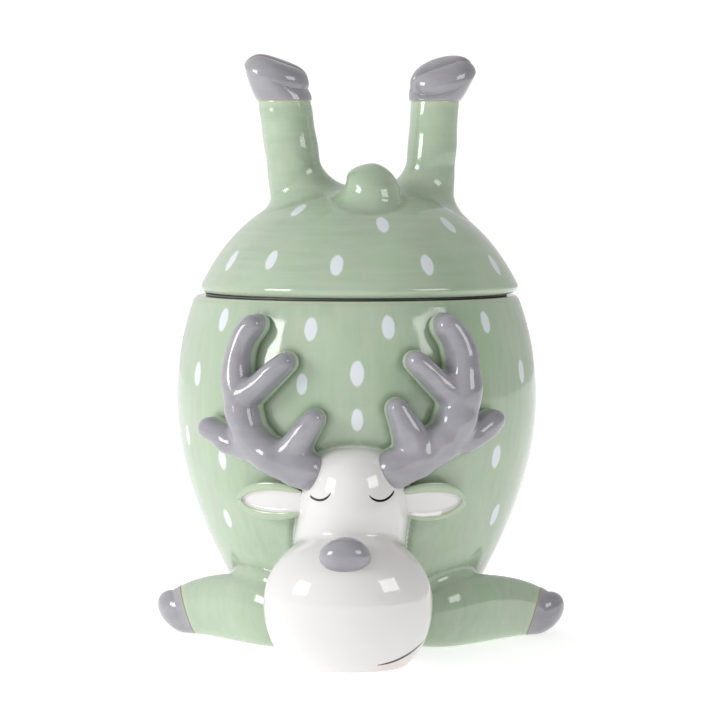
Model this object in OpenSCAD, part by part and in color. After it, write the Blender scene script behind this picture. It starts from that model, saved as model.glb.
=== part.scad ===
// Lidded ceramic jar in the form of a reindeer that has tumbled on to its chin.
// The egg is the reindeer's body: its lower part is the jar and its top is the lid.
// Origin: on the table, on the egg's axis. +Z up, the face looks towards -Y.
// Every piece is a separate casting that is stuck on with slip and fired in place.

/* [Egg] */
// Largest diameter of the egg
egg_d = 174.5; // [140:0.5:210]
// Height of the whole egg, from the table to the top of the dome
egg_h = 217; // [180:1:262]
// Height of the egg's widest level above the table
belly_z = 114; // [95:1:120]
// Height of the lid, from the jar's rim to the top of the dome
lid_h = 52.5; // [42:0.5:60]
// Diameter of the egg at the table
foot_d = 87; // [70:1:110]
// Thickness of the cast wall, measured level
wall = 5; // [3.5:0.5:7]
// Rounding of the cut edges and of the foot
edge_r = 1.5; // [0.5:0.5:2]

/* [Jar] */
// Thickness of the jar's floor
floor_t = 7; // [4:0.5:10]
// Depth of the recess inside the foot ring
foot_recess = 1.5; // [1:0.5:3]
// Width of the foot ring, edge rounding included
foot_ring_w = 9; // [6:0.5:14]
// Height of the straight throat inside the rim
throat_h = 10; // [8:0.5:14]
// Diameter of the vent behind each hollow casting
vent_d = 4; // [3:0.5:6]

/* [Lid] */
// Turn of the lid on its seat, seen from above
lid_turn = 11; // [-180:1:180]
// How far the lid's edge stands out beyond the jar's rim
lid_overhang = 0.7; // [0:0.1:2]
// How far the dome stands to the right of its own flange
dome_shift = 1.6; // [0:0.1:2]
// Rounding of the lid's lower edge
lid_edge_r = 3.1; // [1.5:0.1:4]
// Depth of the locating flange below the lid's seat
flange_h = 11; // [9:0.5:16]
// Thickness of the locating flange
flange_t = 4.5; // [3:0.5:6]
// Width of the bead that holds the seal on the flange
bead_w = 0.8; // [0.5:0.1:1.2]
// Height of that bead
bead_h = 1.6; // [1:0.2:2.4]

/* [Seal] */
// Thickness of the web between the rim and the lid
web_t = 1.2; // [0.6:0.1:1.5]
// How far the web stops short of the rim's outer edge
web_setback = 5; // [3:0.1:6]
// Thickness of the sleeve that grips the flange
sleeve_t = 1.1; // [0.8:0.1:1.6]
// Reach of each sealing fin beyond the sleeve
fin_reach = 1.4; // [1:0.1:2]
// Number of sealing fins
fin_count = 3; // [2:1:3]
// Running clearance of the seal on the flange and in the throat
seal_clearance = 0.1; // [0.05:0.05:0.2]

/* [Head] */
// Width of the muzzle
muzzle_w = 79; // [66:1:92]
// How far the muzzle stands to the left
muzzle_shift = 0.9; // [0:0.1:2]
// Depth of the muzzle, front to back
muzzle_d = 68; // [56:1:82]
// Height of the muzzle's top above the table
muzzle_h = 61; // [51:1:70]
// Height of the muzzle's widest level
muzzle_z = 28; // [22:1:33]
// How far the muzzle's lower half would reach below the table if it were not cut off
muzzle_cut = 14; // [6:1:20]
// How far the muzzle stands out in front of the egg's widest circle
muzzle_out = 42; // [34:1:50]
// Width of the face between the eyes and the ears
face_w = 52; // [44:1:60]
// How far the face stands to the right
face_shift = 1.2; // [0:0.1:2]
// Height of the crown of the head
face_h = 99; // [92:1:108]
// How far the face stands out in front of the egg at eye level
face_out = 31; // [23:1:36]
// Thickness of the cast wall of the head and the legs
cast_t = 4; // [3:0.5:5]
// Width of the nose
nose_w = 23; // [18:1:27]
// Height of the nose
nose_h = 16.5; // [13:0.5:20]
// Height of the middle of the nose above the table
nose_z = 53; // [45:0.5:56]

/* [Ears] */
// Length of each ear beyond the face
ear_l = 25.5; // [21:0.5:31]
// Height of each ear across its middle
ear_w = 18.5; // [15:0.5:19.5]
// Height of the ears above the table
ear_z = 71.8; // [67:0.2:74]

/* [Antlers] */
// Gap that the antlers' middle line keeps from the egg
antler_off = 8; // [6.5:0.5:10]
// How much wider the antlers are where they meet the egg
antler_pad = 2; // [1:0.2:3]
// Diameter of the beam where it leaves the head
beam_root_d = 17; // [14:0.5:18.5]
// Diameter of the beam at its tip
beam_tip_d = 9.6; // [8:0.5:11.5]
// Diameter of the tines at their tips
tine_tip_d = 8.2; // [6.5:0.5:9.5]

/* [Front legs] */
// Distance from the egg's axis to the tip of each front hoof
foreleg_reach = 98.8; // [88:0.2:119]
// How far both front legs stand to the right
foreleg_shift = 2; // [0:0.2:3]
// Diameter of the front leg at the shoulder
shoulder_d = 34.5; // [28.5:0.5:38]
// Diameter of the front leg where the hoof's end rounds off
forehoof_d = 20.5; // [18:0.5:25]
// Length of the front hoof along the table
forehoof_l = 18; // [15:0.5:20]
// Slope of the line between leg and hoof, away from upright
forehoof_tilt = 18; // [0:1:22]

/* [Hind legs] */
// Half the distance between the hind legs at the dome
hind_offset = 32.5; // [31:0.5:35]
// How far the hind legs and the tail stand to the right of the lid's middle
back_shift = 3.3; // [0:0.1:4]
// Outward lean of the hind legs
hind_lean = 6; // [3:0.5:9]
// How much more the left hind leg leans than the right one
hind_lean_step = 4.4; // [0:0.2:5]
// Diameter of the hind legs at mid height
hind_d = 24.2; // [20:0.2:27]
// How much thicker the left hind leg is than the right one
hind_d_step = 1.8; // [0:0.2:3]
// Size of the flare between each hind leg and the dome
hind_flare = 16; // [10:0.5:19]
// Length of the hind leg above the top of the dome, up to its hoof
hind_leg_l = 41; // [30:0.5:52]
// Height of the hind hoof
hind_hoof_h = 22; // [18:0.5:26]
// Length of the hind hoof from heel to toe
hind_hoof_l = 33; // [28:0.5:40]
// Width of the hind hoof across both toes
hind_hoof_w = 26; // [22:0.5:30]
// Upward tilt of the hind hoof's toe
hind_hoof_tilt = 19; // [14:1:28]
// Sideways tilt of the hind hooves, which raises the toe at the back
hind_hoof_roll = 22; // [8:1:26]
// How much more the right hind hoof tilts sideways than the left one
hind_hoof_roll_step = 14; // [0:1:16]
// How far the hind hooves stand out beyond the legs
hind_hoof_out = 4; // [2:0.2:6]
// Depth of the cleft between the toes
cleft = 1.8; // [1:0.2:4]

/* [Tail] */
// Width of the tail
tail_w = 25.5; // [21:0.5:29]
// Height of the tail's tip above the top of the dome
tail_h = 11; // [8:0.5:16]
// Distance of the tail from the lid's middle, towards the front
tail_offset = 30; // [28:0.5:33]
// Size of the flare between the tail and the dome
tail_flare = 8; // [4:0.5:9]

/* [Hidden] */
$fn = 96;

GREEN = "#a9c4a5";
WHITE = "#efebe9";
GREY = "#918f94";
CLEAR = "#e6e8e6";

// Shape exponents of the egg's outline and of the face
crown_p = 2.03;
crown_q = 2.4;
taper_p = 1.85;
face_p = 3;

crown_z = egg_h;
rim_z = egg_h - lid_h;
hock_z = egg_h + hind_leg_l;
overall_h = hock_z + hind_hoof_h;
tail_top_z = egg_h + tail_h;
egg_rad = egg_d / 2;
foot_rad = foot_d / 2;
play = 0.02; // keeps the lid's seat just clear of the seal's web, so that it turns freely
seat_z = rim_z + web_t + play;
throat_r = egg_r(rim_z, wall);
flange_ro = throat_r - seal_clearance - fin_reach - sleeve_t - seal_clearance;
flange_ri = flange_ro - flange_t;
sleeve_h = flange_h - bead_h - seal_clearance;
overlap = 1; // how far a cutting shape runs past the face that it cuts

muzzle_y = -egg_rad - muzzle_out + muzzle_d / 2;
face_z = (ear_z + muzzle_h) / 2 - 3.4;
face_depth = 2 * (face_out + 4);
face_y = -egg_r(face_z) - face_out + face_depth / 2;

// ---------------------------------------------------------------- outlines

// Radius of the egg at height z. inset moves the surface inwards by a wall.
function egg_r(z, inset = 0) =
  z > belly_z
    ? (egg_rad - inset) * pow(max(0, 1 - pow((z - belly_z) / (crown_z - inset - belly_z), crown_p)), 1 / crown_q)
    : egg_rad - inset - (egg_rad - foot_rad) * pow((belly_z - z) / belly_z, taper_p);

// The lid follows the egg's outline, a little larger. inset moves the surface inwards by a wall.
lid_growth = 1 + lid_overhang / egg_r(rim_z);
function lid_r(z, inset = 0) = egg_r(z, inset) * lid_growth;

// The rounding of the lid's lower edge runs into the dome where the dome leans in by this many degrees.
edge_tilt = 24;
lid_edge_z = seat_z + lid_edge_r * (1 + sin(edge_tilt));
lid_edge_x = lid_r(lid_edge_z) - lid_edge_r * cos(edge_tilt);

// Height of the dome at the distance rho from the dome's own axis, and at a place in the lid's frame.
function dome_z(rho) =
  belly_z + (crown_z - belly_z) * pow(max(0, 1 - pow(rho / (egg_rad * lid_growth), crown_q)), 1 / crown_p);
function dome_z_at(x, y) = dome_z(norm([x - dome_shift, y]));

// A point that stands off the egg's surface: s runs round the egg from the front, off stands out from it.
function on_egg(s, z, off) =
  let (a = s / egg_r(z) * 180 / PI)
  [(egg_r(z) + off) * sin(a), -(egg_r(z) + off) * cos(a), z];

function mix(a, b, t) = a + (b - a) * t;
function smooth_step(t) = let (c = min(1, max(0, t))) c * c * (3 - 2 * c);
function smooth_max(a, b, k) = (a + b + sqrt((a - b) * (a - b) + k * k)) / 2;

// A curve through the points p, with n steps from each point to the next.
function spline_at(p, i, t) =
  let (
    last = len(p) - 1,
    a = p[max(0, i - 1)], b = p[i], c = p[i + 1], d = p[min(last, i + 2)]
  )
  0.5 * (2 * b + (c - a) * t + (2 * a - 5 * b + 4 * c - d) * t * t + (3 * b - a - 3 * c + d) * t * t * t);
function spline(p, n) =
  [for (i = [0:len(p) - 2], k = [0:n - 1]) spline_at(p, i, k / n), p[len(p) - 1]];

// ---------------------------------------------------------------- skins

// A closed skin over a stack of rings that all have the same number of points.
module skin(rings) {
  n = len(rings[0]);
  last = len(rings) - 1;
  sides = [
    for (i = [0:last - 1], j = [0:n - 1])
      for (f = [
        [i * n + j, (i + 1) * n + j, (i + 1) * n + (j + 1) % n],
        [i * n + j, (i + 1) * n + (j + 1) % n, i * n + (j + 1) % n]
      ]) f
  ];
  bottom = [for (j = [0:n - 1]) j];
  top = [for (j = [n - 1:-1:0]) last * n + j];
  polyhedron(points = [for (r = rings) each r], faces = concat([bottom], sides, [top]));
}

// ---------------------------------------------------------------- egg

egg_steps = 22;
jar_levels = [for (i = [1:egg_steps]) let (z = edge_r + (rim_z - 2 * edge_r) * i / egg_steps) z];
lid_levels = [for (i = [0:egg_steps - 1]) mix(lid_edge_z, crown_z, sin(90 * i / egg_steps))];

// The whole egg below the rim, with nothing inside: what the castings are fitted to.
module jar_blank() {
  rotate_extrude()
    polygon(concat(
      [[0, 0], [foot_rad - edge_r, 0]],
      [for (z = jar_levels) [egg_r(z), z]],
      [for (a = [30:30:90]) [egg_r(rim_z) - edge_r * (1 - cos(a)), rim_z - edge_r * (1 - sin(a))]],
      [[0, rim_z]]
    ));
}

module jar_hollow() {
  floor_z = foot_recess + floor_t;
  corner = 4;
  hollow_levels = [
    for (i = [0:egg_steps]) mix(floor_z + corner, rim_z - throat_h - corner, i / egg_steps)
  ];
  rotate_extrude()
    polygon(concat(
      [[0, floor_z]],
      [for (a = [0:30:60]) [egg_r(floor_z + corner, wall) - corner * (1 - sin(a)), floor_z + corner * (1 - cos(a))]],
      [for (z = hollow_levels) [egg_r(z, wall), z]],
      [[throat_r, rim_z - throat_h], [throat_r, rim_z - edge_r / 2], [throat_r + edge_r / 2, rim_z],
       [throat_r + edge_r / 2, rim_z + overlap], [0, rim_z + overlap]]
    ));
}

// A vent through the egg's wall, level, at the given direction and height.
module wall_vent(angle, z) {
  translate([0, 0, z])
    rotate([0, 0, angle])
      rotate([0, 90, 0])
        translate([0, 0, egg_r(z, 2 * wall)]) cylinder(d = vent_d, h = 3 * wall, $fn = 24);
}

module jar_shell() {
  color(GREEN)
    difference() {
      jar_blank();
      jar_hollow();
      translate([0, 0, -overlap]) cylinder(r = foot_rad - foot_ring_w, h = foot_recess + overlap);
      wall_vent(-90, muzzle_h - vent_d);
      for (side = [-1, 1]) wall_vent(-90 + side * 52, shoulder_d / 2);
    }
}

// The lid as a solid: the dome above the seat, a little to the right of the flange and the hollow.
module lid_blank() {
  translate([dome_shift, 0, 0])
    rotate_extrude()
      polygon(concat(
        [[0, seat_z]],
        [for (a = [-90:19:5]) [lid_edge_x + lid_edge_r * cos(a), seat_z + lid_edge_r * (1 + sin(a))]],
        [for (z = lid_levels) [lid_r(z), z]],
        [[0, crown_z]]
      ));
}

module lid_hollow() {
  start = seat_z + 2 * flange_t;
  rotate_extrude()
    polygon(concat(
      [[0, seat_z - overlap], [flange_ri, seat_z - overlap], [flange_ri, seat_z + flange_t / 2]],
      [for (i = [0:egg_steps - 1]) let (z = mix(start, crown_z - wall, sin(90 * i / egg_steps))) [lid_r(z, wall), z]],
      [[0, crown_z - wall]]
    ));
}

module locating_flange() {
  rotate_extrude()
    polygon([
      [flange_ri, seat_z - flange_h],
      [flange_ro + bead_w - bead_h / 2, seat_z - flange_h],
      [flange_ro + bead_w, seat_z - flange_h + bead_h / 2],
      [flange_ro, seat_z - flange_h + bead_h],
      [flange_ro, seat_z + overlap],
      [flange_ri, seat_z + overlap]
    ]);
}

module lid_shell() {
  color(GREEN)
    rotate([0, 0, lid_turn]) {
      difference() {
        lid_blank();
        lid_hollow();
        for (side = [-1, 1])
          translate([hind_x(side, dome_z(hind_offset)), 0, rim_z]) cylinder(d = vent_d, h = crown_z - rim_z, $fn = 24);
      }
      locating_flange();
    }
}

// ---------------------------------------------------------------- seal

module seal_ring() {
  inner = flange_ro + seal_clearance;
  top_z = seat_z - play;
  fin_pitch = (sleeve_h - web_t) / fin_count;
  color(CLEAR)
    rotate_extrude() {
      polygon([
        [inner, seat_z - sleeve_h],
        [inner + sleeve_t, seat_z - sleeve_h],
        [inner + sleeve_t, rim_z],
        [egg_r(rim_z) - web_setback, rim_z],
        [egg_r(rim_z) - web_setback, top_z],
        [inner, top_z]
      ]);
      for (i = [0:fin_count - 1])
        let (z = seat_z - sleeve_h + fin_pitch * i)
          polygon([
            [inner + sleeve_t / 2, z],
            [inner + sleeve_t + fin_reach, z + fin_pitch * 0.55],
            [inner + sleeve_t + fin_reach, z + fin_pitch * 0.7],
            [inner + sleeve_t / 2, z + fin_pitch * 0.45]
          ]);
    }
}

// ---------------------------------------------------------------- head

head_sides = 40;
head_levels = 26;

// Distance from the axis line (0, y0) to an ellipse centred on (0, cy), in the direction a from the front.
function ellipse_reach(a, y0, cy, rx, ry) =
  rx <= 0.01 ? 0
    : let (
        d = y0 - cy,
        q = pow(sin(a) / rx, 2) + pow(cos(a) / ry, 2),
        b = d * cos(a) / (ry * ry),
        disc = b * b - q * (d * d / (ry * ry) - 1)
      )
      disc <= 0 ? 0 : max(0, (b + sqrt(disc)) / q);

function bulge(z, mid, half, p) = pow(max(0, 1 - pow(abs(z - mid) / half, p)), 1 / p);

// Share of its full width that the muzzle has at height z.
function muzzle_share(z, inset = 0) =
  bulge(z, muzzle_z, (z < muzzle_z ? muzzle_z + muzzle_cut : muzzle_h - muzzle_z) - inset, 2.1);

// One level ring of the head: the muzzle's ball and the face, blended where they meet.
function head_ring(z, inset) =
  let (
    top = face_h - inset,
    y0 = mix(muzzle_y, face_y, smooth_step((z - muzzle_h) / (top - muzzle_h))),
    km = muzzle_share(z, inset),
    kf = bulge(z, face_z, top - face_z, face_p)
  )
  [
    for (j = [0:head_sides - 1])
      let (
        a = 360 * j / head_sides,
        ball = ellipse_reach(a, y0, muzzle_y, (muzzle_w / 2 - inset) * km, (muzzle_d / 2 - inset) * km),
        face = z < face_z && z < muzzle_z ? 0
          : ellipse_reach(a, y0, face_y, (face_w / 2 - inset) * kf, (face_depth / 2 - inset) * kf),
        r = max(0.02, smooth_max(ball, face, 1.2) - 0.3)
      )
      [head_shift(z) + r * sin(a), y0 - r * cos(a), z]
  ];

// The muzzle is stuck on a little to the left of the face.
function head_shift(z) = mix(-muzzle_shift, face_shift, smooth_step((z - muzzle_h + 10) / 20));

function head_rings(inset) =
  [
    for (i = [0:head_levels])
      head_ring(mix(inset, face_h - inset - 0.01, pow(sin(90 * i / head_levels), 1.2)), inset)
  ];

module head_blank() skin(head_rings(0));

module head() {
  color(WHITE)
    difference() {
      head_blank();
      skin(head_rings(cast_t));
      jar_blank();
    }
}

module nose() {
  n = 10;
  reach = -muzzle_y + muzzle_d / 2 * muzzle_share(nose_z - nose_h / 4);
  color(GREY)
    difference() {
      translate([-muzzle_shift - 0.6, -reach + nose_h * 0.22, nose_z])
        skin([
          for (i = [0:n])
            [for (j = [0:23])
              let (a = 15 * j, w = max(0.01, sin(180 * i / n)))
                [nose_w / 2 * w * sin(a), -nose_h * 0.52 * w * cos(a), -nose_h / 2 * cos(180 * i / n)]]
        ]);
      head_blank();
    }
}

// ---------------------------------------------------------------- ears

ear_stations = 9;
ear_points = 9;

// The left ear is a cupped leaf that lies along the egg: each section is a crescent that opens forwards.
function ear_section(t) =
  let (
    s0 = face_w / 2 - 6,
    s = mix(s0, face_w / 2 + ear_l, t),
    half = ear_w / 2 * pow(max(0.001, 1 - pow(abs(t - 0.45) / 0.55, 2.2)), 0.6),
    out = 7.5,
    rim = min(1.6, half * 0.3),
    back = 8 * pow(half / ear_w * 2, 0.7),
    front = 1.4 * pow(half / ear_w * 2, 0.7),
    arc = [
      for (k = [0:ear_points]) let (a = 180 * k / ear_points) [half * cos(a), out - back * sin(a)],
      for (k = [ear_points - 1:-1:1]) let (a = 180 * k / ear_points) [(half - rim) * cos(a), out + rim - front * sin(a)]
    ]
  )
  [for (p = arc) on_egg(-s, ear_z + p[0] + 1.5 * t, p[1])];

module ear(side) {
  color(GREEN)
    mirror([side > 0 ? 1 : 0, 0, 0])
      difference() {
        skin([for (i = [0:ear_stations]) ear_section(i / ear_stations)]);
        head_blank();
        jar_blank();
      }
}

// ---------------------------------------------------------------- antlers

// Each row is a point [distance round the egg, height above the ears' level plus antler_lift, diameter].
function beam(side) =
  side < 0
    ? [
        [18, 14.5, beam_root_d], [26, 18, beam_root_d], [36, 22, 16], [45, 30.5, 14.8],
        [50, 45, 13.6], [52, 60, 11.6], [49.5, 72.5, 10.2], [43.5, 80.5, beam_tip_d]
      ]
    : [
        [18, 15.5, beam_root_d], [27, 20, beam_root_d + 1], [36, 25, 17], [44.5, 33, 17],
        [49, 46, 17], [50.5, 60, 15], [48, 72, 12.5], [42.5, 80, beam_tip_d + 1.4]
      ];
function tines(side) =
  side < 0
    ? [
        [[48, 47, 12], [39, 54.5, 10], [28.5, 64, tine_tip_d + 0.4]],
        [[28, 20, 16], [21.5, 29.5, 12], [15.5, 38.5, tine_tip_d + 0.8]],
        [[41, 24, 13], [54, 26.5, 11.5], [67.5, 32.5, tine_tip_d + 0.8]]
      ]
    : [
        [[46, 48, 13], [37.5, 55.5, 10.5], [28.5, 64.5, tine_tip_d + 0.8]],
        [[29, 22, 17], [25, 33, 14], [20.5, 43, tine_tip_d + 2.2]],
        [[42, 27, 14], [54.5, 29.5, 11.5], [67, 36.5, tine_tip_d + 1.4]]
      ];
antler_lift = 1.2; // height above the ears' level from which the rows above count
antler_foot = 2; // distance from the egg of the rods' wide foot

// A round-topped rod through the points of a path, with the diameter that each point gives, and a wider foot.
module rod(side, path) {
  points = spline(path, 2);
  for (i = [0:len(points) - 2])
    hull() {
      for (p = [points[i], points[i + 1]]) {
        translate(on_egg(side * p[0], ear_z + antler_lift + p[1], antler_off)) sphere(d = p[2], $fn = 14);
        translate(on_egg(side * p[0], ear_z + antler_lift + p[1], antler_foot)) sphere(d = p[2] + antler_pad, $fn = 14);
      }
    }
}

module antler(side) {
  color(GREY)
    difference() {
      union() {
        rod(side, beam(side));
        for (t = tines(side)) rod(side, t);
      }
      head_blank();
      jar_blank();
    }
}

// ---------------------------------------------------------------- front legs

leg_sides = 28;
shoulder_x = 18;
shoulder_y = -24;
foreleg_bow = 24; // how far the leg bows forwards beside the muzzle
foreleg_p = 2.8; // shape exponent of the leg's taper
tip_y = -3;
foreleg_steps = 12;
forehoof_steps = 6;
foreleg_tip_x = foreleg_reach - tan(forehoof_tilt) * forehoof_d / 2; // where the tip's plane meets the table

// One ring of the front leg. x is where the ring's plane meets the table; the plane slopes outwards.
function foreleg_ring(side, x, inset) =
  let (
    cap = forehoof_d * 0.52,
    reach = foreleg_tip_x,
    run = reach - cap - shoulder_x,
    u = (x - shoulder_x) / run,
    round_off = x > reach - cap ? sqrt(max(0.0004, 1 - pow((x - reach + cap) / (cap - inset), 2))) : 1,
    v = min(1, max(0, u)),
    full_r = mix(shoulder_d, forehoof_d, pow(v, foreleg_p)) / 2,
    r = max(0.05, (full_r - inset) * round_off),
    y = mix(shoulder_y, tip_y, u) - foreleg_bow * 6.75 * v * (1 - v) * (1 - v),
    lift = full_r * 0.97,
    slope = tan(forehoof_tilt) * v,
    ring = [
      for (j = [0:leg_sides - 1])
        let (a = 360 * j / leg_sides, z = max(inset, lift + r * sin(a)))
          [side * (x + slope * z) + foreleg_shift, y + r * cos(a), z]
    ]
  )
  side > 0 ? ring : [for (j = [leg_sides - 1:-1:0]) ring[j]];

forehoof_x = foreleg_reach - forehoof_l;

module foreleg(side) {
  color(GREEN)
    difference() {
      skin([for (i = [0:foreleg_steps]) foreleg_ring(side, mix(shoulder_x, forehoof_x, i / foreleg_steps), 0)]);
      skin([
        for (i = [0:foreleg_steps])
          foreleg_ring(side, mix(shoulder_x - overlap, forehoof_x - cast_t, i / foreleg_steps), cast_t)
      ]);
      jar_blank();
    }
}

module forehoof(side) {
  color(GREY)
    skin([
      for (i = [0:forehoof_steps])
        foreleg_ring(side, mix(forehoof_x, foreleg_tip_x - 0.01, sin(90 * i / forehoof_steps)), 0)
    ]);
}

// ---------------------------------------------------------------- hind legs

flare_steps = 6;
hind_steps = 4;
hind_sides = 32;
root_sink = 4; // how far each piece on the lid runs below the dome before it is trimmed

// Lean, radius and middle of a hind leg at height z, in the lid's own frame: side is -1 for the left one.
function lean(side) = hind_lean - side * hind_lean_step / 2;
function hind_r(side) = (hind_d - side * hind_d_step / 2) / 2;
function hind_x(side, z) = back_shift + side * (hind_offset + (z - crown_z) * tan(lean(side)));

// One point of a piece that grows out of the dome: t is 0 on the dome and 90 where the flare ends.
function flared_point(cx, cy, r, flare, a, t) =
  let (
    rho = r + flare * (1 - sin(t)),
    x = cx + rho * cos(a),
    y = cy + rho * sin(a)
  )
  [x, y, dome_z_at(x, y) + flare * (1 - cos(t))];

function sunk(ring) = [for (p = ring) p - [0, 0, root_sink]];

// The flare is wide towards the lid's middle and narrow towards its edge, more so on the left leg.
function hind_flare_ring(side, t) =
  [
    for (j = [0:hind_sides - 1])
      let (
        a = 360 * j / hind_sides,
        flare = hind_flare * (side < 0 ? 0.65 + 0.33 * cos(a) : 0.74 - 0.22 * cos(a)),
        lean = side * flare * (1 - cos(t)) * tan(lean(side))
      )
      flared_point(hind_x(side, dome_z(hind_offset)) + lean, 0, hind_r(side), flare, a, t)
  ];

function hind_top_ring(side) =
  [
    for (j = [0:hind_sides - 1])
      let (a = 360 * j / hind_sides)
        [hind_x(side, hock_z) + hind_r(side) * cos(a), hind_r(side) * sin(a), hock_z]
  ];

module hind_leg(side) {
  flared = [for (i = [0:flare_steps]) hind_flare_ring(side, mix(15, 90, i / flare_steps))];
  color(GREEN)
    rotate([0, 0, lid_turn])
      difference() {
        skin(concat(
          [sunk(flared[0])],
          flared,
          [for (i = [1:hind_steps]) mix(flared[flare_steps], hind_top_ring(side), i / hind_steps)]
        ));
        translate([hind_x(side, rim_z), 0, rim_z])
          rotate([0, side * lean(side), 0])
            cylinder(r = hind_r(side) - cast_t, h = (hock_z - cast_t - rim_z) / cos(lean(side)), $fn = 32);
        lid_blank();
      }
}

// A cloven hoof: it grows from the leg's end into a longer, tilted sole with a rounded edge and a groove.
// narrow draws the ring in towards the sole's middle line.
function hoof_ring(side, grow, edge, narrow = 1) =
  let (
    round_r = hind_d / 3,
    tilt = hind_hoof_tilt * grow,
    full_roll = hind_hoof_roll + side * hind_hoof_roll_step / 2,
    roll = full_roll * grow,
    top_loss = 0.4, // the groove takes away the very top of the sole's edge
    rise = norm([
      (hind_hoof_l / 2 - round_r) * sin(hind_hoof_tilt),
      (hind_hoof_w / 2 - round_r) * sin(full_roll) * cos(hind_hoof_tilt)
    ]),
    foot_x = hind_x(side, hock_z),
    mid = mix([foot_x, hock_z], [foot_x + side * hind_hoof_out, overall_h + top_loss - round_r - rise], grow),
    half_l = mix(hind_r(side), hind_hoof_l / 2, pow(grow, 0.7)) - round_r * (1 - cos(edge)),
    half_w = mix(hind_r(side), hind_hoof_w / 2, pow(grow, 0.7)) - round_r * (1 - cos(edge))
  )
  [
    for (j = [0:hind_sides - 1])
      let (
        a = 360 * j / hind_sides,
        u = half_l * cos(a),
        v = half_w * sin(a) * narrow,
        up = round_r * sin(edge) - cleft * exp(-pow(v / 2, 2)) * grow * sin(edge) * sin(edge),
        w = up * cos(roll) + v * sin(roll)
      )
      [mid[0] + side * (u * cos(tilt) - w * sin(tilt)), v * cos(roll) - up * sin(roll), mid[1] + u * sin(tilt) + w * cos(tilt)]
  ];

module hind_hoof(side) {
  rings = concat(
    [for (i = [0:5]) hoof_ring(side, i / 5, 0)],
    [for (e = [22.5:22.5:90]) hoof_ring(side, 1, e)],
    [for (k = [0.6, 0.2]) hoof_ring(side, 1, 90, k)]
  );
  color(GREY)
    rotate([0, 0, lid_turn])
      skin(side > 0 ? rings : [for (r = rings) [for (j = [hind_sides - 1:-1:0]) r[j]]]);
}

// ---------------------------------------------------------------- tail

tail_steps = 7;

// The tail's flare is wide on its left and narrow on its right.
function tail_ring(t) =
  [
    for (j = [0:hind_sides - 1])
      let (a = 360 * j / hind_sides)
        flared_point(back_shift, -tail_offset, tail_w / 2, tail_flare * (0.6 - 0.4 * cos(a)), a, t)
  ];

// The tail's rounded end: k is 0 at the top of the flare and 90 at the tip.
function tail_cap_ring(k) =
  let (low = tail_ring(90))
  [
    for (p = low)
      let (draw_in = pow(cos(k), 1.2))
        [
          back_shift + (p[0] - back_shift) * draw_in,
          -tail_offset + (p[1] + tail_offset) * draw_in + 1.5 * sin(k),
          mix(p[2], tail_top_z, sin(k))
        ]
  ];

module tail() {
  flared = [for (i = [0:flare_steps]) tail_ring(mix(15, 90, i / flare_steps))];
  color(GREEN)
    rotate([0, 0, lid_turn])
      difference() {
        skin(concat(
          [sunk(flared[0])],
          flared,
          [for (i = [1:tail_steps]) tail_cap_ring(88 * i / tail_steps)]
        ));
        lid_blank();
      }
}

// ---------------------------------------------------------------- nodes

jar_shell();
head();
nose();
antler(-1);  // antler_left
antler(1);  // antler_right
ear(-1);  // ear_left
ear(1);  // ear_right
foreleg(-1);  // foreleg_left
foreleg(1);  // foreleg_right
forehoof(-1);  // forehoof_left
forehoof(1);  // forehoof_right
seal_ring();
lid_shell();
tail();
hind_leg(-1);  // hind_leg_left
hind_leg(1);  // hind_leg_right
hind_hoof(-1);  // hind_hoof_left
hind_hoof(1);  // hind_hoof_right
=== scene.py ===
import math

import bpy
import numpy as np
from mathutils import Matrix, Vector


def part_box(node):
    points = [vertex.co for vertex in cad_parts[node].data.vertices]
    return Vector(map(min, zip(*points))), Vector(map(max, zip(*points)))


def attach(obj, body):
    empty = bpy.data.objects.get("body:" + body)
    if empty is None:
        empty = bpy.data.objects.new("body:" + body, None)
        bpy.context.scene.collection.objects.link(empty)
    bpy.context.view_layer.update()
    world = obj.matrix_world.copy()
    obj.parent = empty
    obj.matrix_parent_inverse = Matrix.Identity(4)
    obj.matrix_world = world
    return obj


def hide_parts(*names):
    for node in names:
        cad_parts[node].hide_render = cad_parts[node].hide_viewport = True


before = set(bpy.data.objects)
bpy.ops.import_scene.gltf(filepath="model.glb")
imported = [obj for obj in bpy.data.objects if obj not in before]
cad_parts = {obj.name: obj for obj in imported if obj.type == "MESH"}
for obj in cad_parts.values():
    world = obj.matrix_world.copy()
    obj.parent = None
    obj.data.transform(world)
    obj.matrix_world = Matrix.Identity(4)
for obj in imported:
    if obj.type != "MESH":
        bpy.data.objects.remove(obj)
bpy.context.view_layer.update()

# ------------------------------------ viewpoint
# A long lens a little above the jar's rim, almost square on to the face.

MM = 0.001
CAMERA_AWAY = 1400 * MM
CAMERA_HEIGHT = 222.4 * MM
CAMERA_ROUND = math.radians(1.7)
CAMERA_DOWN = math.atan(185 / 2890)
AIM_RIGHT = 1.7 * MM
LENS = 144.5

camera = bpy.data.objects.new("camera", bpy.data.cameras.new("camera"))
camera.data.lens = LENS
camera.data.sensor_width = 36
camera.location = (
    CAMERA_AWAY * math.sin(CAMERA_ROUND) + AIM_RIGHT * math.cos(CAMERA_ROUND),
    -CAMERA_AWAY * math.cos(CAMERA_ROUND) + AIM_RIGHT * math.sin(CAMERA_ROUND),
    CAMERA_HEIGHT,
)
camera.rotation_euler = (math.pi / 2 - CAMERA_DOWN, 0, CAMERA_ROUND)
bpy.context.scene.collection.objects.link(camera)
bpy.context.scene.camera = camera

# ------------------------------------ jar shell
# The lower part of the egg is slip-cast in one piece, 5 mm thick, with a foot ring under it.
# Its outside is brushed with sage glaze and dotted with white, and its inside is glazed white.

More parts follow.
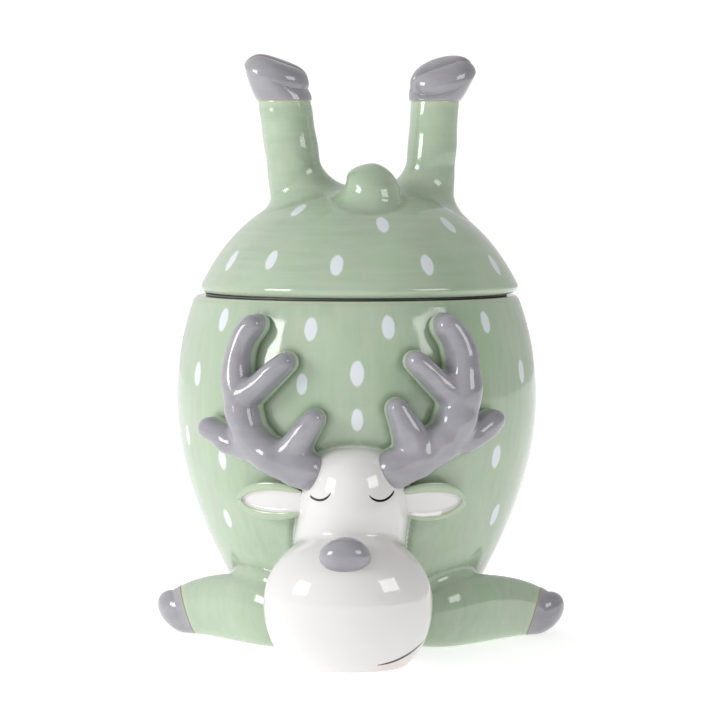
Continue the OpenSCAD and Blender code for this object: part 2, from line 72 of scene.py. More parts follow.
EGG_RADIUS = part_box("jar_shell")[1].x / MM
RIM_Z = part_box("jar_shell")[1].z / MM
CROWN_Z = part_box("lid_shell")[1].z / MM
BELLY_Z = 114.0
FOOT_RADIUS = 43.5
WALL = 5.0
EDGE = 1.5
FLOOR_Z = 8.5
RECESS = 1.5
FOOT_RING = 9.0
THROAT = 10.0
CROWN_POWER = 2.03
SIDE_POWER = 2.4
TAPER_POWER = 1.85
SHELL_SIDES = 400
OUTER_ROWS = 118
FOOT_ROWS = 35


def egg_radius(z, inset=0.0):
    """Egg: above the belly the radius falls as (1 - h^2.03)^(1/2.4), below it falls by h^1.85 to the foot."""
    z = np.asarray(z, float)
    up = np.clip((z - BELLY_Z) / (CROWN_Z - inset - BELLY_Z), 0, 1)
    down = np.clip((BELLY_Z - z) / BELLY_Z, 0, 1.2)
    return (EGG_RADIUS - inset) * (1 - up**CROWN_POWER) ** (1 / SIDE_POWER) - (
        EGG_RADIUS - FOOT_RADIUS
    ) * down**TAPER_POWER


def around(angle, radius, z):
    """A point at an angle from the front, counted towards +X, at a radius and a height."""
    x, y, z = np.broadcast_arrays(radius * np.sin(angle), -radius * np.cos(angle), z)
    return np.stack([x, y, z], -1)


def ease(low, high, value):
    """0 below low, 1 above high, and a smooth S between them."""
    t = np.clip((value - low) / (high - low), 0, 1)
    return t * t * (3 - 2 * t)


def full_turn(sides):
    """Angles all the way round, as a row."""
    return np.linspace(0, 2 * math.pi, sides, endpoint=False)[None, :]


def ring_quads(count, sides):
    """Corner numbers of the four-sided faces between rings of points: ring i joins ring i + 1."""
    i, j = np.meshgrid(np.arange(count - 1), np.arange(sides), indexing="ij")
    k = (j + 1) % sides
    near, far = i * sides, (i + 1) * sides
    return np.stack([near + j, near + k, far + k, far + j], -1).reshape(-1, 4)


def surface(node, rings, body, material, marks=None, caps=(True, True), ending="_glazed"):
    """A skin over rings of points. Each end closes on the middle of its ring, unless caps says not to."""
    count, sides = rings.shape[:2]
    points = rings.reshape(-1, 3)
    faces = ring_quads(count, sides).tolist()
    j = np.arange(sides)
    k = (j + 1) % sides
    values = {key: np.broadcast_to(value, (count, sides)).ravel() for key, value in (marks or {}).items()}
    for at_end, ring, order in ((0, 0, (k, j)), (1, count - 1, (j, k))):
        if caps[at_end]:
            middle = np.full(sides, len(points))
            fan = np.stack([order[0] + ring * sides, order[1] + ring * sides, middle], -1)
            faces += fan.tolist()
            points = np.vstack([points, rings[ring].mean(0)])
            for key in values:
                values[key] = np.append(values[key], values[key][ring * sides : (ring + 1) * sides].mean())
    mesh = bpy.data.meshes.new(node + ending)
    mesh.from_pydata((points * MM).tolist(), [], faces)
    return finished(node, mesh, body, material, values)


def finished(node, mesh, body, material, values):
    """Makes a mesh a smooth-shaded piece with its glaze, marks and body, in the place of its node."""
    mesh.update()
    mesh.polygons.foreach_set("use_smooth", np.ones(len(mesh.polygons), bool))
    for key, value in values.items():
        layer = mesh.attributes.new(key, "FLOAT", "POINT")
        layer.data.foreach_set("value", np.asarray(value, np.float32))
    mesh.materials.append(material)
    piece = bpy.data.objects.new(mesh.name, mesh)
    bpy.context.scene.collection.objects.link(piece)
    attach(piece, body)
    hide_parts(node)
    return piece


def add(tree, kind, settings=None, **inputs):
    """Adds a shader node. An input that is a socket is linked, and any other is set on the node itself."""
    made = tree.nodes.new("ShaderNode" + kind)
    for key, value in (settings or {}).items():
        setattr(made, key, value)
    for key, value in inputs.items():
        place = int(key[1:]) if key[0] == "i" and key[1:].isdigit() else key.replace("_", " ")
        if isinstance(value, bpy.types.NodeSocket):
            tree.links.new(value, made.inputs[place])
        else:
            made.inputs[place].default_value = value
    return made


def math_node(tree, operation, a, b=0.0, c=0.5):
    return add(tree, "Math", {"operation": operation}, i0=a, i1=b, i2=c).outputs[0]


def part_of(tree, value, share):
    """A value times a share."""
    return math_node(tree, "MULTIPLY", value, share)


def mark(tree, name):
    """Reads one of the piece's own marks, such as how deep inside a spot a point lies."""
    return add(tree, "Attribute", {"attribute_name": name}).outputs["Fac"]


def ramp(tree, value, low, high, at_low=0.0, at_high=1.0):
    """0 below low, 1 above high, or the two values given instead, straight between them."""
    made = add(tree, "MapRange", Value=value, From_Min=low, From_Max=high, To_Min=at_low, To_Max=at_high)
    return made.outputs["Result"]


def blend_colour(tree, share, first, second, how="MIX"):
    """Mixes two colours, each a socket or a plain colour, by a share from 0 to 1."""
    made = tree.nodes.new("ShaderNodeMix")
    made.data_type = "RGBA"
    made.blend_type = how
    for place, value in ((0, share), (6, first), (7, second)):
        if isinstance(value, bpy.types.NodeSocket):
            tree.links.new(value, made.inputs[place])
        else:
            made.inputs[place].default_value = value
    return made.outputs[2]


def noise(tree, stretch, detail=3.0, seed=0.0, roughness=0.5):
    """Noise over the object: stretch is its cycles per metre along X, Y and Z, or one number for all."""
    scale = np.broadcast_to(stretch, 3).tolist()
    place = add(tree, "TexCoord").outputs["Object"]
    moved = add(tree, "Mapping", Vector=place, Scale=scale, Location=(seed, seed * 0.7, seed * 1.3)).outputs[0]
    return add(tree, "TexNoise", Vector=moved, Scale=1.0, Detail=detail, Roughness=roughness).outputs["Fac"]


WHITE_GLAZE = (0.715, 0.705, 0.695, 1)
WARM_WHITE = (0.68, 0.65, 0.625, 1)
SPOT_WHITE = (0.70, 0.73, 0.78, 1)
INK = (0.012, 0.011, 0.012, 1)
LIP_BLUSH = (0.74, 0.62, 0.55, 1)
BISQUE = (0.60, 0.54, 0.46, 1)
SAGE = (0.385, 0.480, 0.352, 1)
SAGE_DEEP = (0.325, 0.412, 0.297, 1)
# Darkest green: partly glaze pooled in corners, partly painted shade where other pieces meet the egg.
SAGE_POOLED_AND_SHADED = (0.150, 0.215, 0.128, 1)
SAGE_TAN = (0.430, 0.462, 0.352, 1)
SAGE_YELLOW = (0.520, 0.560, 0.385, 1)
SAGE_PALE = (0.450, 0.540, 0.420, 1)
SAGE_FRESH = (0.330, 0.470, 0.300, 1)


def new_glaze(name):
    """An empty material, its tree of nodes, and its Principled shader."""
    material = bpy.data.materials.new(name)
    material.use_nodes = True
    tree = material.node_tree
    return material, tree, tree.nodes["Principled BSDF"]


def roughen(tree, shader, height, strength, distance):
    """Lets a height move the surface's shading, over a distance in metres."""
    bump = add(tree, "Bump", Height=height, Strength=strength, Distance=distance)
    tree.links.new(bump.outputs["Normal"], shader.inputs["Normal"])


ROUGH_LOW = 0.07
ROUGH_HIGH = 0.13


def fire(tree, shader, colour, fine_bump, bump_height):
    """Finishes a glaze: a glassy coat that is a little wavy, slightly duller where the noise runs high."""
    tree.links.new(colour, shader.inputs["Base Color"])
    wave = noise(tree, 34, 2.0, 3.1)
    orange_peel = noise(tree, 260, 2.0, 5.7)
    tree.links.new(ramp(tree, orange_peel, 0.3, 0.7, ROUGH_LOW, ROUGH_HIGH), shader.inputs["Roughness"])
    total = math_node(tree, "ADD", part_of(tree, orange_peel, 0.05), wave)
    total = math_node(tree, "ADD", part_of(tree, fine_bump, bump_height), total)
    roughen(tree, shader, total, 0.55, 0.0007)
    shader.inputs["IOR"].default_value = 1.52
    shader.inputs["Coat Weight"].default_value = 0.35
    shader.inputs["Coat Roughness"].default_value = 0.03
    shader.inputs["Coat IOR"].default_value = 1.5


def sage_glaze(name, streaks):
    """Sage glaze, brushed on: cloudy patches, brush streaks and fine specks. It breaks to yellow where thin,
    darkens in corners where other pieces meet it, partly as pooled glaze and partly as painted shade,
    and gives way to white spots, white lining and bare clay by the marks."""
    material, tree, shader = new_glaze(name)
    clouds = ramp(tree, noise(tree, 26, 3.0, 1.3), 0.36, 0.66)
    brush = ramp(tree, noise(tree, streaks, 4.0, 2.2, 0.6), 0.30, 0.70)
    tan = ramp(tree, noise(tree, (75, 75, 60), 4.0, 7.9), 0.50, 0.72)
    speckle = ramp(tree, noise(tree, 700, 2.0, 9.4), 0.52, 0.74)
    colour = blend_colour(tree, clouds, SAGE_DEEP, SAGE)
    colour = blend_colour(tree, part_of(tree, brush, 0.44), colour, SAGE_PALE)
    colour = blend_colour(tree, part_of(tree, tan, 0.50), colour, SAGE_TAN)
    fresh = ramp(tree, noise(tree, (48, 48, 40), 4.0, 11.6), 0.48, 0.70)
    colour = blend_colour(tree, part_of(tree, fresh, 0.40), colour, SAGE_FRESH)
    colour = blend_colour(tree, part_of(tree, speckle, 0.16), colour, SAGE_DEEP)
    patchy = math_node(tree, "MULTIPLY_ADD", noise(tree, 160, 3.0, 5.2), 0.9, 0.25)
    thin = part_of(tree, mark(tree, "thin"), patchy)
    colour = blend_colour(tree, thin, colour, SAGE_YELLOW)
    # Pooled glaze and painted shade: this mark darkens the green near seams with other pieces.
    pool_and_shade = part_of(tree, mark(tree, "pool_and_shade"), patchy)
    colour = blend_colour(tree, pool_and_shade, colour, SAGE_POOLED_AND_SHADED)
    ragged = math_node(tree, "SUBTRACT", noise(tree, 330, 2.0, 4.4), 0.5)
    spot_edge = math_node(tree, "ADD", mark(tree, "spot"), part_of(tree, ragged, 0.22))
    spot = ramp(tree, spot_edge, 0.50, 0.70)
    colour = blend_colour(tree, part_of(tree, spot, 0.90), colour, SPOT_WHITE)
    lining_edge = math_node(tree, "ADD", mark(tree, "lining"), part_of(tree, ragged, 0.10))
    lining = ramp(tree, lining_edge, 0.44, 0.56)
    colour = blend_colour(tree, lining, colour, WHITE_GLAZE)
    bare = ramp(tree, mark(tree, "bare"), 0.42, 0.58)
    colour = blend_colour(tree, bare, colour, BISQUE)
    raised = math_node(tree, "ADD", brush, part_of(tree, spot, 2.0))
    fire(tree, shader, colour, raised, 0.05)
    return material


UPRIGHT_STREAKS = (240, 240, 22)
LEVEL_STREAKS = (24, 24, 330)
jar_glaze = sage_glaze("sage_glaze_jar", UPRIGHT_STREAKS)
lid_glaze = sage_glaze("sage_glaze_lid", LEVEL_STREAKS)


def corner(centre, radius, start, stop, steps):
    """A rounded edge of a profile: an arc round a centre, from one angle to another, in degrees."""
    a = np.radians(np.linspace(start, stop, steps))
    return np.stack([centre[0] + radius * np.cos(a), centre[1] + radius * np.sin(a)], -1)


def upright(radius, start, stop, steps):
    return np.stack([np.full(steps, radius), np.linspace(start, stop, steps)], -1)


def level(start, stop, z, steps):
    return np.stack([np.linspace(start, stop, steps), np.full(steps, z)], -1)


# How deep inside a white spot each point lies: 0 is far from it and 0.6 is its edge.
# A spot is an oval that stands along the egg: (angle from the front, height, share of the usual size).
SPOT_HALF_WIDTH = 3.0
SPOT_HALF_LENGTH = 5.6
JAR_SPOTS = [
    (-48, 155, 1), (-13, 152, 1), (12, 153, 1), (49, 154, 0.95),
    (-58, 129, 1), (-15, 127, 0.88), (2, 132, 1.06), (66, 130, 1),
    (-67, 99, 0.9), (2, 111, 0.92), (-46, 90, 0.9), (52, 91, 1),
    (-51, 61, 0.86), (60, 62, 1),
]
LID_SPOTS = [
    (-59, 182, 1), (-35, 183, 0.95), (-7, 181, 1), (28, 181, 1), (66, 180, 1),
    (-38, 206, 0.95), (13, 199.5, 0.95), (51, 199, 1), (72, 207, 0.9), (58, 214, 0.7),
]


def staggered(rows, first, last):
    """Rows of spots round the back: each row is (height, number of spots, shift in degrees)."""
    found = []
    for z, number, shift in rows:
        found += [(first + shift + (last - first) * (n + 0.5) / number, z, 0.95) for n in range(number)]
    return found


JAR_SPOTS += staggered([(154, 6, 0), (130, 5, 9), (107, 6, -6), (85, 5, 8), (62, 5, -7), (40, 4, 5)], 74, 284)
LID_SPOTS += staggered([(182, 7, 0), (199, 4, 12)], 82, 288)


def spot_depth(angle, z, spots):
    """1.6 less the oval distance to the nearest spot, along the egg's own surface, and never under 0."""
    levels = np.linspace(0, CROWN_Z - 0.01, 800)
    radii = egg_radius(levels)
    climbed = np.concatenate([[0], np.cumsum(np.hypot(np.diff(radii), np.diff(levels)))])
    depth = np.zeros(np.broadcast(angle, z).shape)
    for turn, height, size in spots:
        across = (angle - math.radians(turn) + math.pi) % (2 * math.pi) - math.pi
        across = across * np.interp(z, levels, radii) / SPOT_HALF_WIDTH
        along = (np.interp(z, levels, climbed) - np.interp(height, levels, climbed)) / SPOT_HALF_LENGTH
        depth = np.maximum(depth, 1.6 - np.hypot(across, along) / size)
    return depth


throat_radius = float(egg_radius(RIM_Z, WALL))
outer_levels = np.linspace(EDGE, RIM_Z - EDGE, OUTER_ROWS)
inner_levels = np.linspace(RIM_Z - THROAT - 4, FLOOR_Z + 4, 60)
rim_radius = float(egg_radius(RIM_Z))
ring_inside = FOOT_RADIUS - FOOT_RING
jar_profile = np.vstack([
    level(0.5, ring_inside - 0.6, RECESS, 12),
    corner((ring_inside - 0.6, RECESS - 0.6), 0.6, 90, 0, 4),
    corner((ring_inside + 0.5, 0.5), 0.5, 180, 270, 4),
    level(ring_inside + 0.8, FOOT_RADIUS - EDGE - 0.3, 0.0, 8),
    corner((FOOT_RADIUS - EDGE, EDGE), EDGE, -90, -10, 7),
    np.stack([egg_radius(outer_levels), outer_levels], -1),
    corner((rim_radius - EDGE, RIM_Z - EDGE), EDGE, 12, 90, 7),
    level(rim_radius - EDGE - 0.4, throat_radius + 1.1, RIM_Z, 5),
    corner((throat_radius + 0.8, RIM_Z - 0.8), 0.8, 90, 180, 5),
    upright(throat_radius, RIM_Z - 1.2, RIM_Z - THROAT, 7),
    np.stack([egg_radius(inner_levels, WALL), inner_levels], -1),
    corner((float(egg_radius(FLOOR_Z + 4, WALL)) - 4, FLOOR_Z + 4), 4, -10, -90, 7),
    level(float(egg_radius(FLOOR_Z + 4, WALL)) - 5, 0.5, FLOOR_Z, 12),
])
outside = slice(FOOT_ROWS, FOOT_ROWS + OUTER_ROWS)


def revolved(profile, sides, wobble_rows, wobble):
    """Carries a profile of (radius, height) round the axis. Rows on the outside swell by wobble."""
    angle = full_turn(sides)
    radius = np.repeat(profile[:, :1], sides, 1)
    z = profile[:, 1:]
    hand = np.sin(2 * angle + 0.6) * 0.6 + np.sin(3 * angle + z / 31) * 0.4 + np.sin(5 * angle - z / 23) * 0.2
    shown = np.zeros((len(profile), 1))
    low, high = profile[wobble_rows, 1].min(), profile[wobble_rows, 1].max()
    heights = profile[wobble_rows, 1:]
    shown[wobble_rows] = ease(0, 12, heights - low) * ease(0, 12, high - heights)
    return around(angle, radius + wobble * hand * shown, z), angle


jar_rings, angle = revolved(jar_profile, SHELL_SIDES, outside, 0.3)
jar_rows = np.arange(len(jar_profile))[:, None]
on_outside = (jar_rows >= outside.start - 4) & (jar_rows <= outside.stop + 3)
inner_side = (jar_rows > outside.stop + 6).astype(float)
under = (jar_rows < outside.start - 5) & (jar_profile[:, 1:] < 0.35)
# The darkening mark for pooled glaze and painted shade starts empty and is filled in at the seams of other
# pieces.
jar_marks = {
    "spot": spot_depth(angle, jar_profile[:, 1:], JAR_SPOTS) * on_outside,
    "lining": inner_side,
    "bare": under.astype(float),
    "thin": (ease(2.6, 0.3, RIM_Z - jar_profile[:, 1:]) + ease(5, 0, jar_profile[:, 1:])) * on_outside * 0.5,
    "pool_and_shade": np.zeros((len(jar_profile), SHELL_SIDES)),
}
jar = surface("jar_shell", jar_rings, "jar", jar_glaze, jar_marks)


def pool_and_shade_round(piece, seam, reach=4.5, depth=0.85):
    """Darkens the glaze of a piece near a seam, as pooled glaze and painted shade: full at the seam's points,
    fading out over the reach.
    """
    seam = seam.reshape(-1, 3)[:: max(1, seam.size // 3 // 700)]
    points = read_points(piece.data)
    close = ((points > seam.min(0) - reach) & (points < seam.max(0) + reach)).all(1)
    away = points[close][:, None, :] - seam[None, :, :]
    nearest = np.sqrt((away**2).sum(-1)).min(1)
    layer = piece.data.attributes["pool_and_shade"].data
    pooled_and_shaded = np.zeros(len(points), np.float32)
    layer.foreach_get("value", pooled_and_shaded)
    pooled_and_shaded[close] = np.maximum(pooled_and_shaded[close], depth * ease(reach, 0.3, nearest))
    layer.foreach_set("value", pooled_and_shaded)


def read_points(mesh):
    """The places of a mesh's corners, in millimetres."""
    co = np.zeros(len(mesh.vertices) * 3)
    mesh.vertices.foreach_get("co", co)
    return co.reshape(-1, 3) / MM

# ------------------------------------ head
# A hollow casting of the muzzle's ball and the face above it, luted to the front of the egg.
# White glaze, with closed eyes and a one-sided smile in black underglaze line.

MUZZLE_HALF = (39.4, 34.0, 33.0)
MUZZLE_LOWER_HALF = 38.0
MUZZLE_Y = -95.25
MUZZLE_SHIFT = -0.9
FACE_SHIFT = 1.2
MUZZLE_Z = 28.0
FACE_HALF_WIDTH = 26.6
FACE_HALF_DEPTH = 35.0
FACE_Y = -73.4
FACE_Z = 63.0
FACE_TOP = 99.0
FACE_POWER = 3.3
SNOUT_BLEND = 4.0
SINK = 1.5


def bulge(z, middle, half, power):
    """How wide a rounded body is at a height, as a share of its widest: (1 - h^p)^(1/p)."""
    h = np.clip(np.abs(z - middle) / half, 0, 1)
    return (1 - h**power) ** (1 / power)


def reach_of(angle, y0, middle_y, half_x, half_y):
    """How far it is from the upright line through (0, y0) to an ellipse's edge, at an angle from the front."""
    half_x = np.maximum(half_x, 1e-6)
    half_y = np.maximum(half_y, 1e-6)
    d = y0 - middle_y
    q = (np.sin(angle) / half_x) ** 2 + (np.cos(angle) / half_y) ** 2
    b = d * np.cos(angle) / half_y**2
    inside = b * b - q * (d * d / half_y**2 - 1)
    return np.where(inside > 0, np.maximum(0, (b + np.sqrt(np.maximum(inside, 0))) / q), 0)


def egg_gap(points):
    """How far points stand out from the egg, level."""
    return np.hypot(points[..., 0], points[..., 1]) - egg_radius(points[..., 2])


def seated(points, fillet, sink=SINK):
    """Seats a piece on the egg. Near the egg its surface turns outwards on a quarter circle and meets the egg
    flush, and what would lie deep inside the wall is laid against it, a little below the surface."""
    along = np.gradient(points, axis=0)
    across = np.roll(points, -1, 1) - np.roll(points, 1, 1)
    normal = np.cross(across, along)
    normal /= np.maximum(np.linalg.norm(normal, axis=-1, keepdims=True), 1e-9)
    z = points[..., 2]
    slope = (egg_radius(z + 0.5) - egg_radius(z - 0.5))
    out = np.stack([points[..., 0], points[..., 1], -slope * np.hypot(points[..., 0], points[..., 1])], -1)
    out /= np.maximum(np.linalg.norm(out, axis=-1, keepdims=True), 1e-9)
    flat = normal - (normal * out).sum(-1, keepdims=True) * out
    size = np.linalg.norm(flat, axis=-1, keepdims=True)
    flat = flat / np.maximum(size, 1e-9) * ease(0.1, 0.5, size)
    gap = egg_gap(points)
    share = np.clip(gap / fillet, 0, 1)
    push = fillet * (1 - np.sqrt(np.maximum(1 - (1 - share) ** 2, 0))) * ease(-3.0, -1.0, gap)
    moved = points + flat * push[..., None]
    rho = np.hypot(moved[..., 0], moved[..., 1])
    least = egg_radius(moved[..., 2]) - sink
    grow = np.where(rho < least, least / np.maximum(rho, 1e-6), 1.0)
    moved[..., 0] *= grow
    moved[..., 1] *= grow
    return moved


head_sides = 300
head_rows = 190
turn = full_turn(head_sides)
rise = np.linspace(0, 1, head_rows)[:, None]
head_z = 0.02 + (FACE_TOP - 0.1) * np.sin(rise * math.pi / 2) ** 1.1
middle_y = MUZZLE_Y + (FACE_Y - MUZZLE_Y) * ease(MUZZLE_Z + MUZZLE_HALF[2], FACE_TOP, head_z)
ball = bulge(head_z, MUZZLE_Z, np.where(head_z < MUZZLE_Z, MUZZLE_LOWER_HALF, MUZZLE_HALF[2]), 2.1)
brow = np.where(head_z > MUZZLE_Z, bulge(head_z, FACE_Z, FACE_TOP - FACE_Z, FACE_POWER), 0)
ball_reach = reach_of(turn, middle_y, MUZZLE_Y, MUZZLE_HALF[0] * ball, MUZZLE_HALF[1] * ball)
face_reach = reach_of(turn, middle_y, FACE_Y, FACE_HALF_WIDTH * brow, FACE_HALF_DEPTH * brow)
ball_reach = np.where(ball > 0.01, ball_reach, 0)
blended = np.hypot(ball_reach - face_reach, SNOUT_BLEND)
head_reach = 0.5 * (ball_reach + face_reach + blended) - 0.25 * SNOUT_BLEND
head_shift = MUZZLE_SHIFT + (FACE_SHIFT - MUZZLE_SHIFT) * ease(51, 71, head_z)
head_points = np.stack(np.broadcast_arrays(
    head_shift + head_reach * np.sin(turn), middle_y - head_reach * np.cos(turn), head_z), -1).copy()
head_gap = egg_gap(head_points)
head_points = seated(head_points, 1.6)
head_points[..., 2] = np.maximum(head_points[..., 2], 0.0)

EYE_X = {-1: 14.2, 1: 14.2}
EYE_TILT = {-1: 0.0, 1: math.radians(12)}
EYE_Z = 82.0
EYE_RADIUS = 6.3
EYE_HALF_SPAN = math.radians(68)
SMILE_MIDDLE = (11.0, 37.5)
SMILE_RADIUS = 34.0
SMILE_FROM = 13.0
SMILE_TO = 34.5


def eye_marks(points):
    """An eye is the lower part of a circle: the distance out from it, and the share of its half span."""
    right = points[..., 0] > 0
    x = np.where(right, points[..., 0] - EYE_X[1], -points[..., 0] - EYE_X[-1])
    z = points[..., 2] - EYE_Z
    away = np.abs(np.arctan2(x, -z) - np.where(right, EYE_TILT[1], EYE_TILT[-1]))
    return np.hypot(x, z) - EYE_RADIUS, away / EYE_HALF_SPAN


eye_line, eye_span = eye_marks(head_points)
smile_x = head_points[..., 0] - SMILE_MIDDLE[0]
smile_z = head_points[..., 2] - SMILE_MIDDLE[1]
front = head_points[..., 1] < MUZZLE_Y
smile_line = np.hypot(smile_x, smile_z) - SMILE_RADIUS
smile_span = np.abs(head_points[..., 0] - (SMILE_FROM + SMILE_TO) / 2) / ((SMILE_TO - SMILE_FROM) / 2)
smile_span = np.where(front & (head_points[..., 2] < 30), smile_span, 3.0)
head_marks = {
    "eye_line": eye_line,
    "eye_span": np.where(front, eye_span, 3.0),
    "smile_line": smile_line,
    "smile_span": smile_span,
    "lip": ease(-0.5, 1.5, smile_line) * ease(1.25, 0.8, smile_span),
    "gap": head_gap,
}


def inked(tree, line, span, half_width):
    """1 on a drawn line: near the line's middle, and thinner towards its ends."""
    away = math_node(tree, "ABSOLUTE", mark(tree, line))
    taper = math_node(tree, "POWER", mark(tree, span), 3.0)
    width = math_node(tree, "SUBTRACT", half_width, part_of(tree, taper, half_width * 0.8))
    inside = math_node(tree, "SUBTRACT", width, away)
    drawn = ramp(tree, inside, -0.12, 0.12)
    return part_of(tree, drawn, math_node(tree, "LESS_THAN", mark(tree, span), 1.0))


def white_glaze(name):
    """White glaze over white clay: faint warm clouds, sage where it meets the egg, and the painted face."""
    material, tree, shader = new_glaze(name)
    clouds = ramp(tree, noise(tree, 30, 3.0, 6.1), 0.40, 0.75)
    colour = blend_colour(tree, part_of(tree, clouds, 0.35), WHITE_GLAZE, WARM_WHITE)
    colour = blend_colour(tree, part_of(tree, mark(tree, "lip"), 0.35), colour, LIP_BLUSH)
    wobble = part_of(tree, noise(tree, 200, 2.0, 8.8), 1.2)
    edge = ramp(tree, math_node(tree, "ADD", mark(tree, "gap"), wobble), 1.5, 0.8)
    colour = blend_colour(tree, edge, colour, SAGE)
    colour = blend_colour(tree, inked(tree, "eye_line", "eye_span", 0.55), colour, INK)
    colour = blend_colour(tree, inked(tree, "smile_line", "smile_span", 0.5), colour, INK)
    fire(tree, shader, colour, clouds, 0.02)
    return material


face_glaze = white_glaze("white_glaze_face")
surface("head", head_points, "jar", face_glaze, head_marks)
# Pooled glaze and painted shade on the egg round the head.
pool_and_shade_round(jar, head_points[np.abs(egg_gap(head_points)) < 0.7], 3.5)

# ------------------------------------ nose
# A solid oval, pressed in a mould and stuck on top of the muzzle, in grey glaze.

GREY = (0.330, 0.322, 0.352, 1)
GREY_DEEP = (0.258, 0.252, 0.280, 1)
GREY_WORN = (0.42, 0.35, 0.33, 1)
GREY_BRUSHED = (0.40, 0.39, 0.41, 1)
NOSE_HALF = (11.5, 8.6, 8.2)
NOSE_Z = 53.0


def grey_glaze(name, sage_foot=False):
    """Grey glaze that thins to a pinkish brown where it runs off an edge, with faint level brush marks.
    With a sage foot, the lowest part of the piece, near the egg, is left in the egg's own glaze, darkened
    right at the egg as pooled glaze and painted shade."""
    material, tree, shader = new_glaze(name)
    clouds = ramp(tree, noise(tree, 45, 4.0, 2.9), 0.35, 0.68)
    brush = ramp(tree, noise(tree, (70, 70, 330), 3.0, 5.1), 0.35, 0.70)
    colour = blend_colour(tree, clouds, GREY_DEEP, GREY)
    colour = blend_colour(tree, part_of(tree, brush, 0.25), colour, GREY_BRUSHED)
    blotches = ramp(tree, noise(tree, 120, 3.0, 3.3), 0.3, 0.8)
    worn = math_node(tree, "ADD", mark(tree, "thin"), part_of(tree, blotches, 0.5))
    colour = blend_colour(tree, part_of(tree, ramp(tree, worn, 0.55, 1.3), 0.75), colour, GREY_WORN)
    if sage_foot:
        ragged = part_of(tree, noise(tree, 180, 2.0, 8.1), 1.6)
        foot = ramp(tree, math_node(tree, "ADD", mark(tree, "gap"), ragged), 6.0, 5.3)
        # Pooled glaze and painted shade in the corner where the antler meets the egg.
        corner_pool_and_shade = ramp(tree, mark(tree, "gap"), 2.2, 0.2)
        green = blend_colour(tree, part_of(tree, corner_pool_and_shade, 0.7), SAGE, SAGE_POOLED_AND_SHADED)
        colour = blend_colour(tree, foot, colour, green)
    fire(tree, shader, colour, brush, 0.05)
    return material


slate_glaze = grey_glaze("grey_glaze")
nose_u = np.linspace(0.02, math.pi - 0.02, 60)[:, None]
nose_v = full_turn(90)
nose_drop = 1 + 0.10 * np.cos(nose_u)
nose_points = np.stack(np.broadcast_arrays(
    NOSE_HALF[0] * np.sin(nose_u) * np.sin(nose_v) * nose_drop,
    -NOSE_HALF[1] * np.sin(nose_u) * np.cos(nose_v),
    -NOSE_HALF[2] * np.cos(nose_u)), -1)
nose_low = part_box("nose")[0] / MM
nose_points = nose_points + np.array([MUZZLE_SHIFT - 0.6, nose_low.y + NOSE_HALF[1], NOSE_Z])
surface("nose", nose_points, "jar", slate_glaze, {"thin": 0.0})

# ------------------------------------ antlers
# Solid castings with four points each. They grow out of the crown of the head and lie along the egg.

ANTLER_GAP = 8.0
ANTLER_Z = 73.0
BEAMS = {
    -1: [(18, 14.5, 17), (26, 18, 17), (36, 22, 16), (45, 30.5, 14.8),
         (50, 45, 13.6), (52, 60, 11.6), (49.5, 72.5, 10.2), (43.5, 80.5, 9.6)],
    1: [(18, 15.5, 17), (27, 20, 18), (36, 25, 17), (44.5, 33, 17),
        (49, 46, 17), (50.5, 60, 15), (48, 72, 12.5), (42.5, 80, 11)],
}
TINES = {
    -1: [[(48, 47, 12), (39, 54.5, 10), (28.5, 64, 8.6)],
         [(28, 20, 16), (21.5, 29.5, 12), (15.5, 38.5, 9)],
         [(41, 24, 13), (54, 26.5, 11.5), (67.5, 32.5, 9)]],
    1: [[(46, 48, 13), (37.5, 55.5, 10.5), (28.5, 64.5, 9)],
        [(29, 22, 17), (25, 33, 14), (20.5, 43, 10.4)],
        [(42, 27, 14), (54.5, 29.5, 11.5), (67, 36.5, 9.6)]],
}


def on_egg(round_it, z, gap):
    """A point that stands off the egg: round_it is the distance round the egg from its front."""
    return around(round_it / egg_radius(z), egg_radius(z) + gap, z)


def flowing(points, steps):
    """A smooth curve through points: Catmull-Rom, steps samples from each point to the next."""
    p = np.asarray(points, float)
    p = np.vstack([2 * p[0] - p[1], p, 2 * p[-1] - p[-2]])
    t = np.linspace(0, 1, steps, endpoint=False)[None, :, None]
    a, b, c, d = p[:-3, None], p[1:-2, None], p[2:-1, None], p[3:, None]
    curve = 0.5 * (2 * b + (c - a) * t + (2 * a - 5 * b + 4 * c - d) * t**2 + (3 * b - a - 3 * c + d) * t**3)
    return np.vstack([curve.reshape(-1, p.shape[1]), p[-2]])


def round_rod(path, radius, sides=28, dome=8):
    """A rod along a path whose radius changes, with half-ball ends: rings stand square to the path."""
    heading = np.gradient(path, axis=0)
    heading /= np.linalg.norm(heading, axis=1, keepdims=True)
    a = np.linspace(0, math.pi / 2, dome, endpoint=False)
    start = path[0] - heading[0] * radius[0] * np.cos(a)[:, None]
    stop = path[-1] + heading[-1] * radius[-1] * np.sin(a[1:])[:, None]
    path = np.vstack([start, path, stop])
    radius = np.concatenate([radius[0] * np.maximum(np.sin(a), 0.02), radius, radius[-1] * np.cos(a[1:])])
    heading = np.vstack([np.repeat(heading[:1], dome, 0), heading, np.repeat(heading[-1:], dome - 1, 0)])
    side = np.cross(heading, np.array([0.0, -1.0, 0.0]))
    side /= np.linalg.norm(side, axis=1, keepdims=True)
    other = np.cross(heading, side)
    v = full_turn(sides)[..., None]
    return path[:, None] + radius[:, None, None] * (np.cos(v) * side[:, None] + np.sin(v) * other[:, None])


def joined_rods(rods):
    """Several closed rods in one mesh, all facing outwards."""
    points, faces, start = [], [], 0
    for rings in rods:
        count, sides = rings.shape[:2]
        first = start + np.arange(sides)
        faces += (ring_quads(count, sides) + start).tolist()
        faces += [first[::-1].tolist(), (first + (count - 1) * sides).tolist()]
        points.append(rings.reshape(-1, 3))
        start += count * sides
    mesh = bpy.data.meshes.new("rods")
    mesh.from_pydata((np.vstack(points) * MM).tolist(), [], faces)
    return mesh


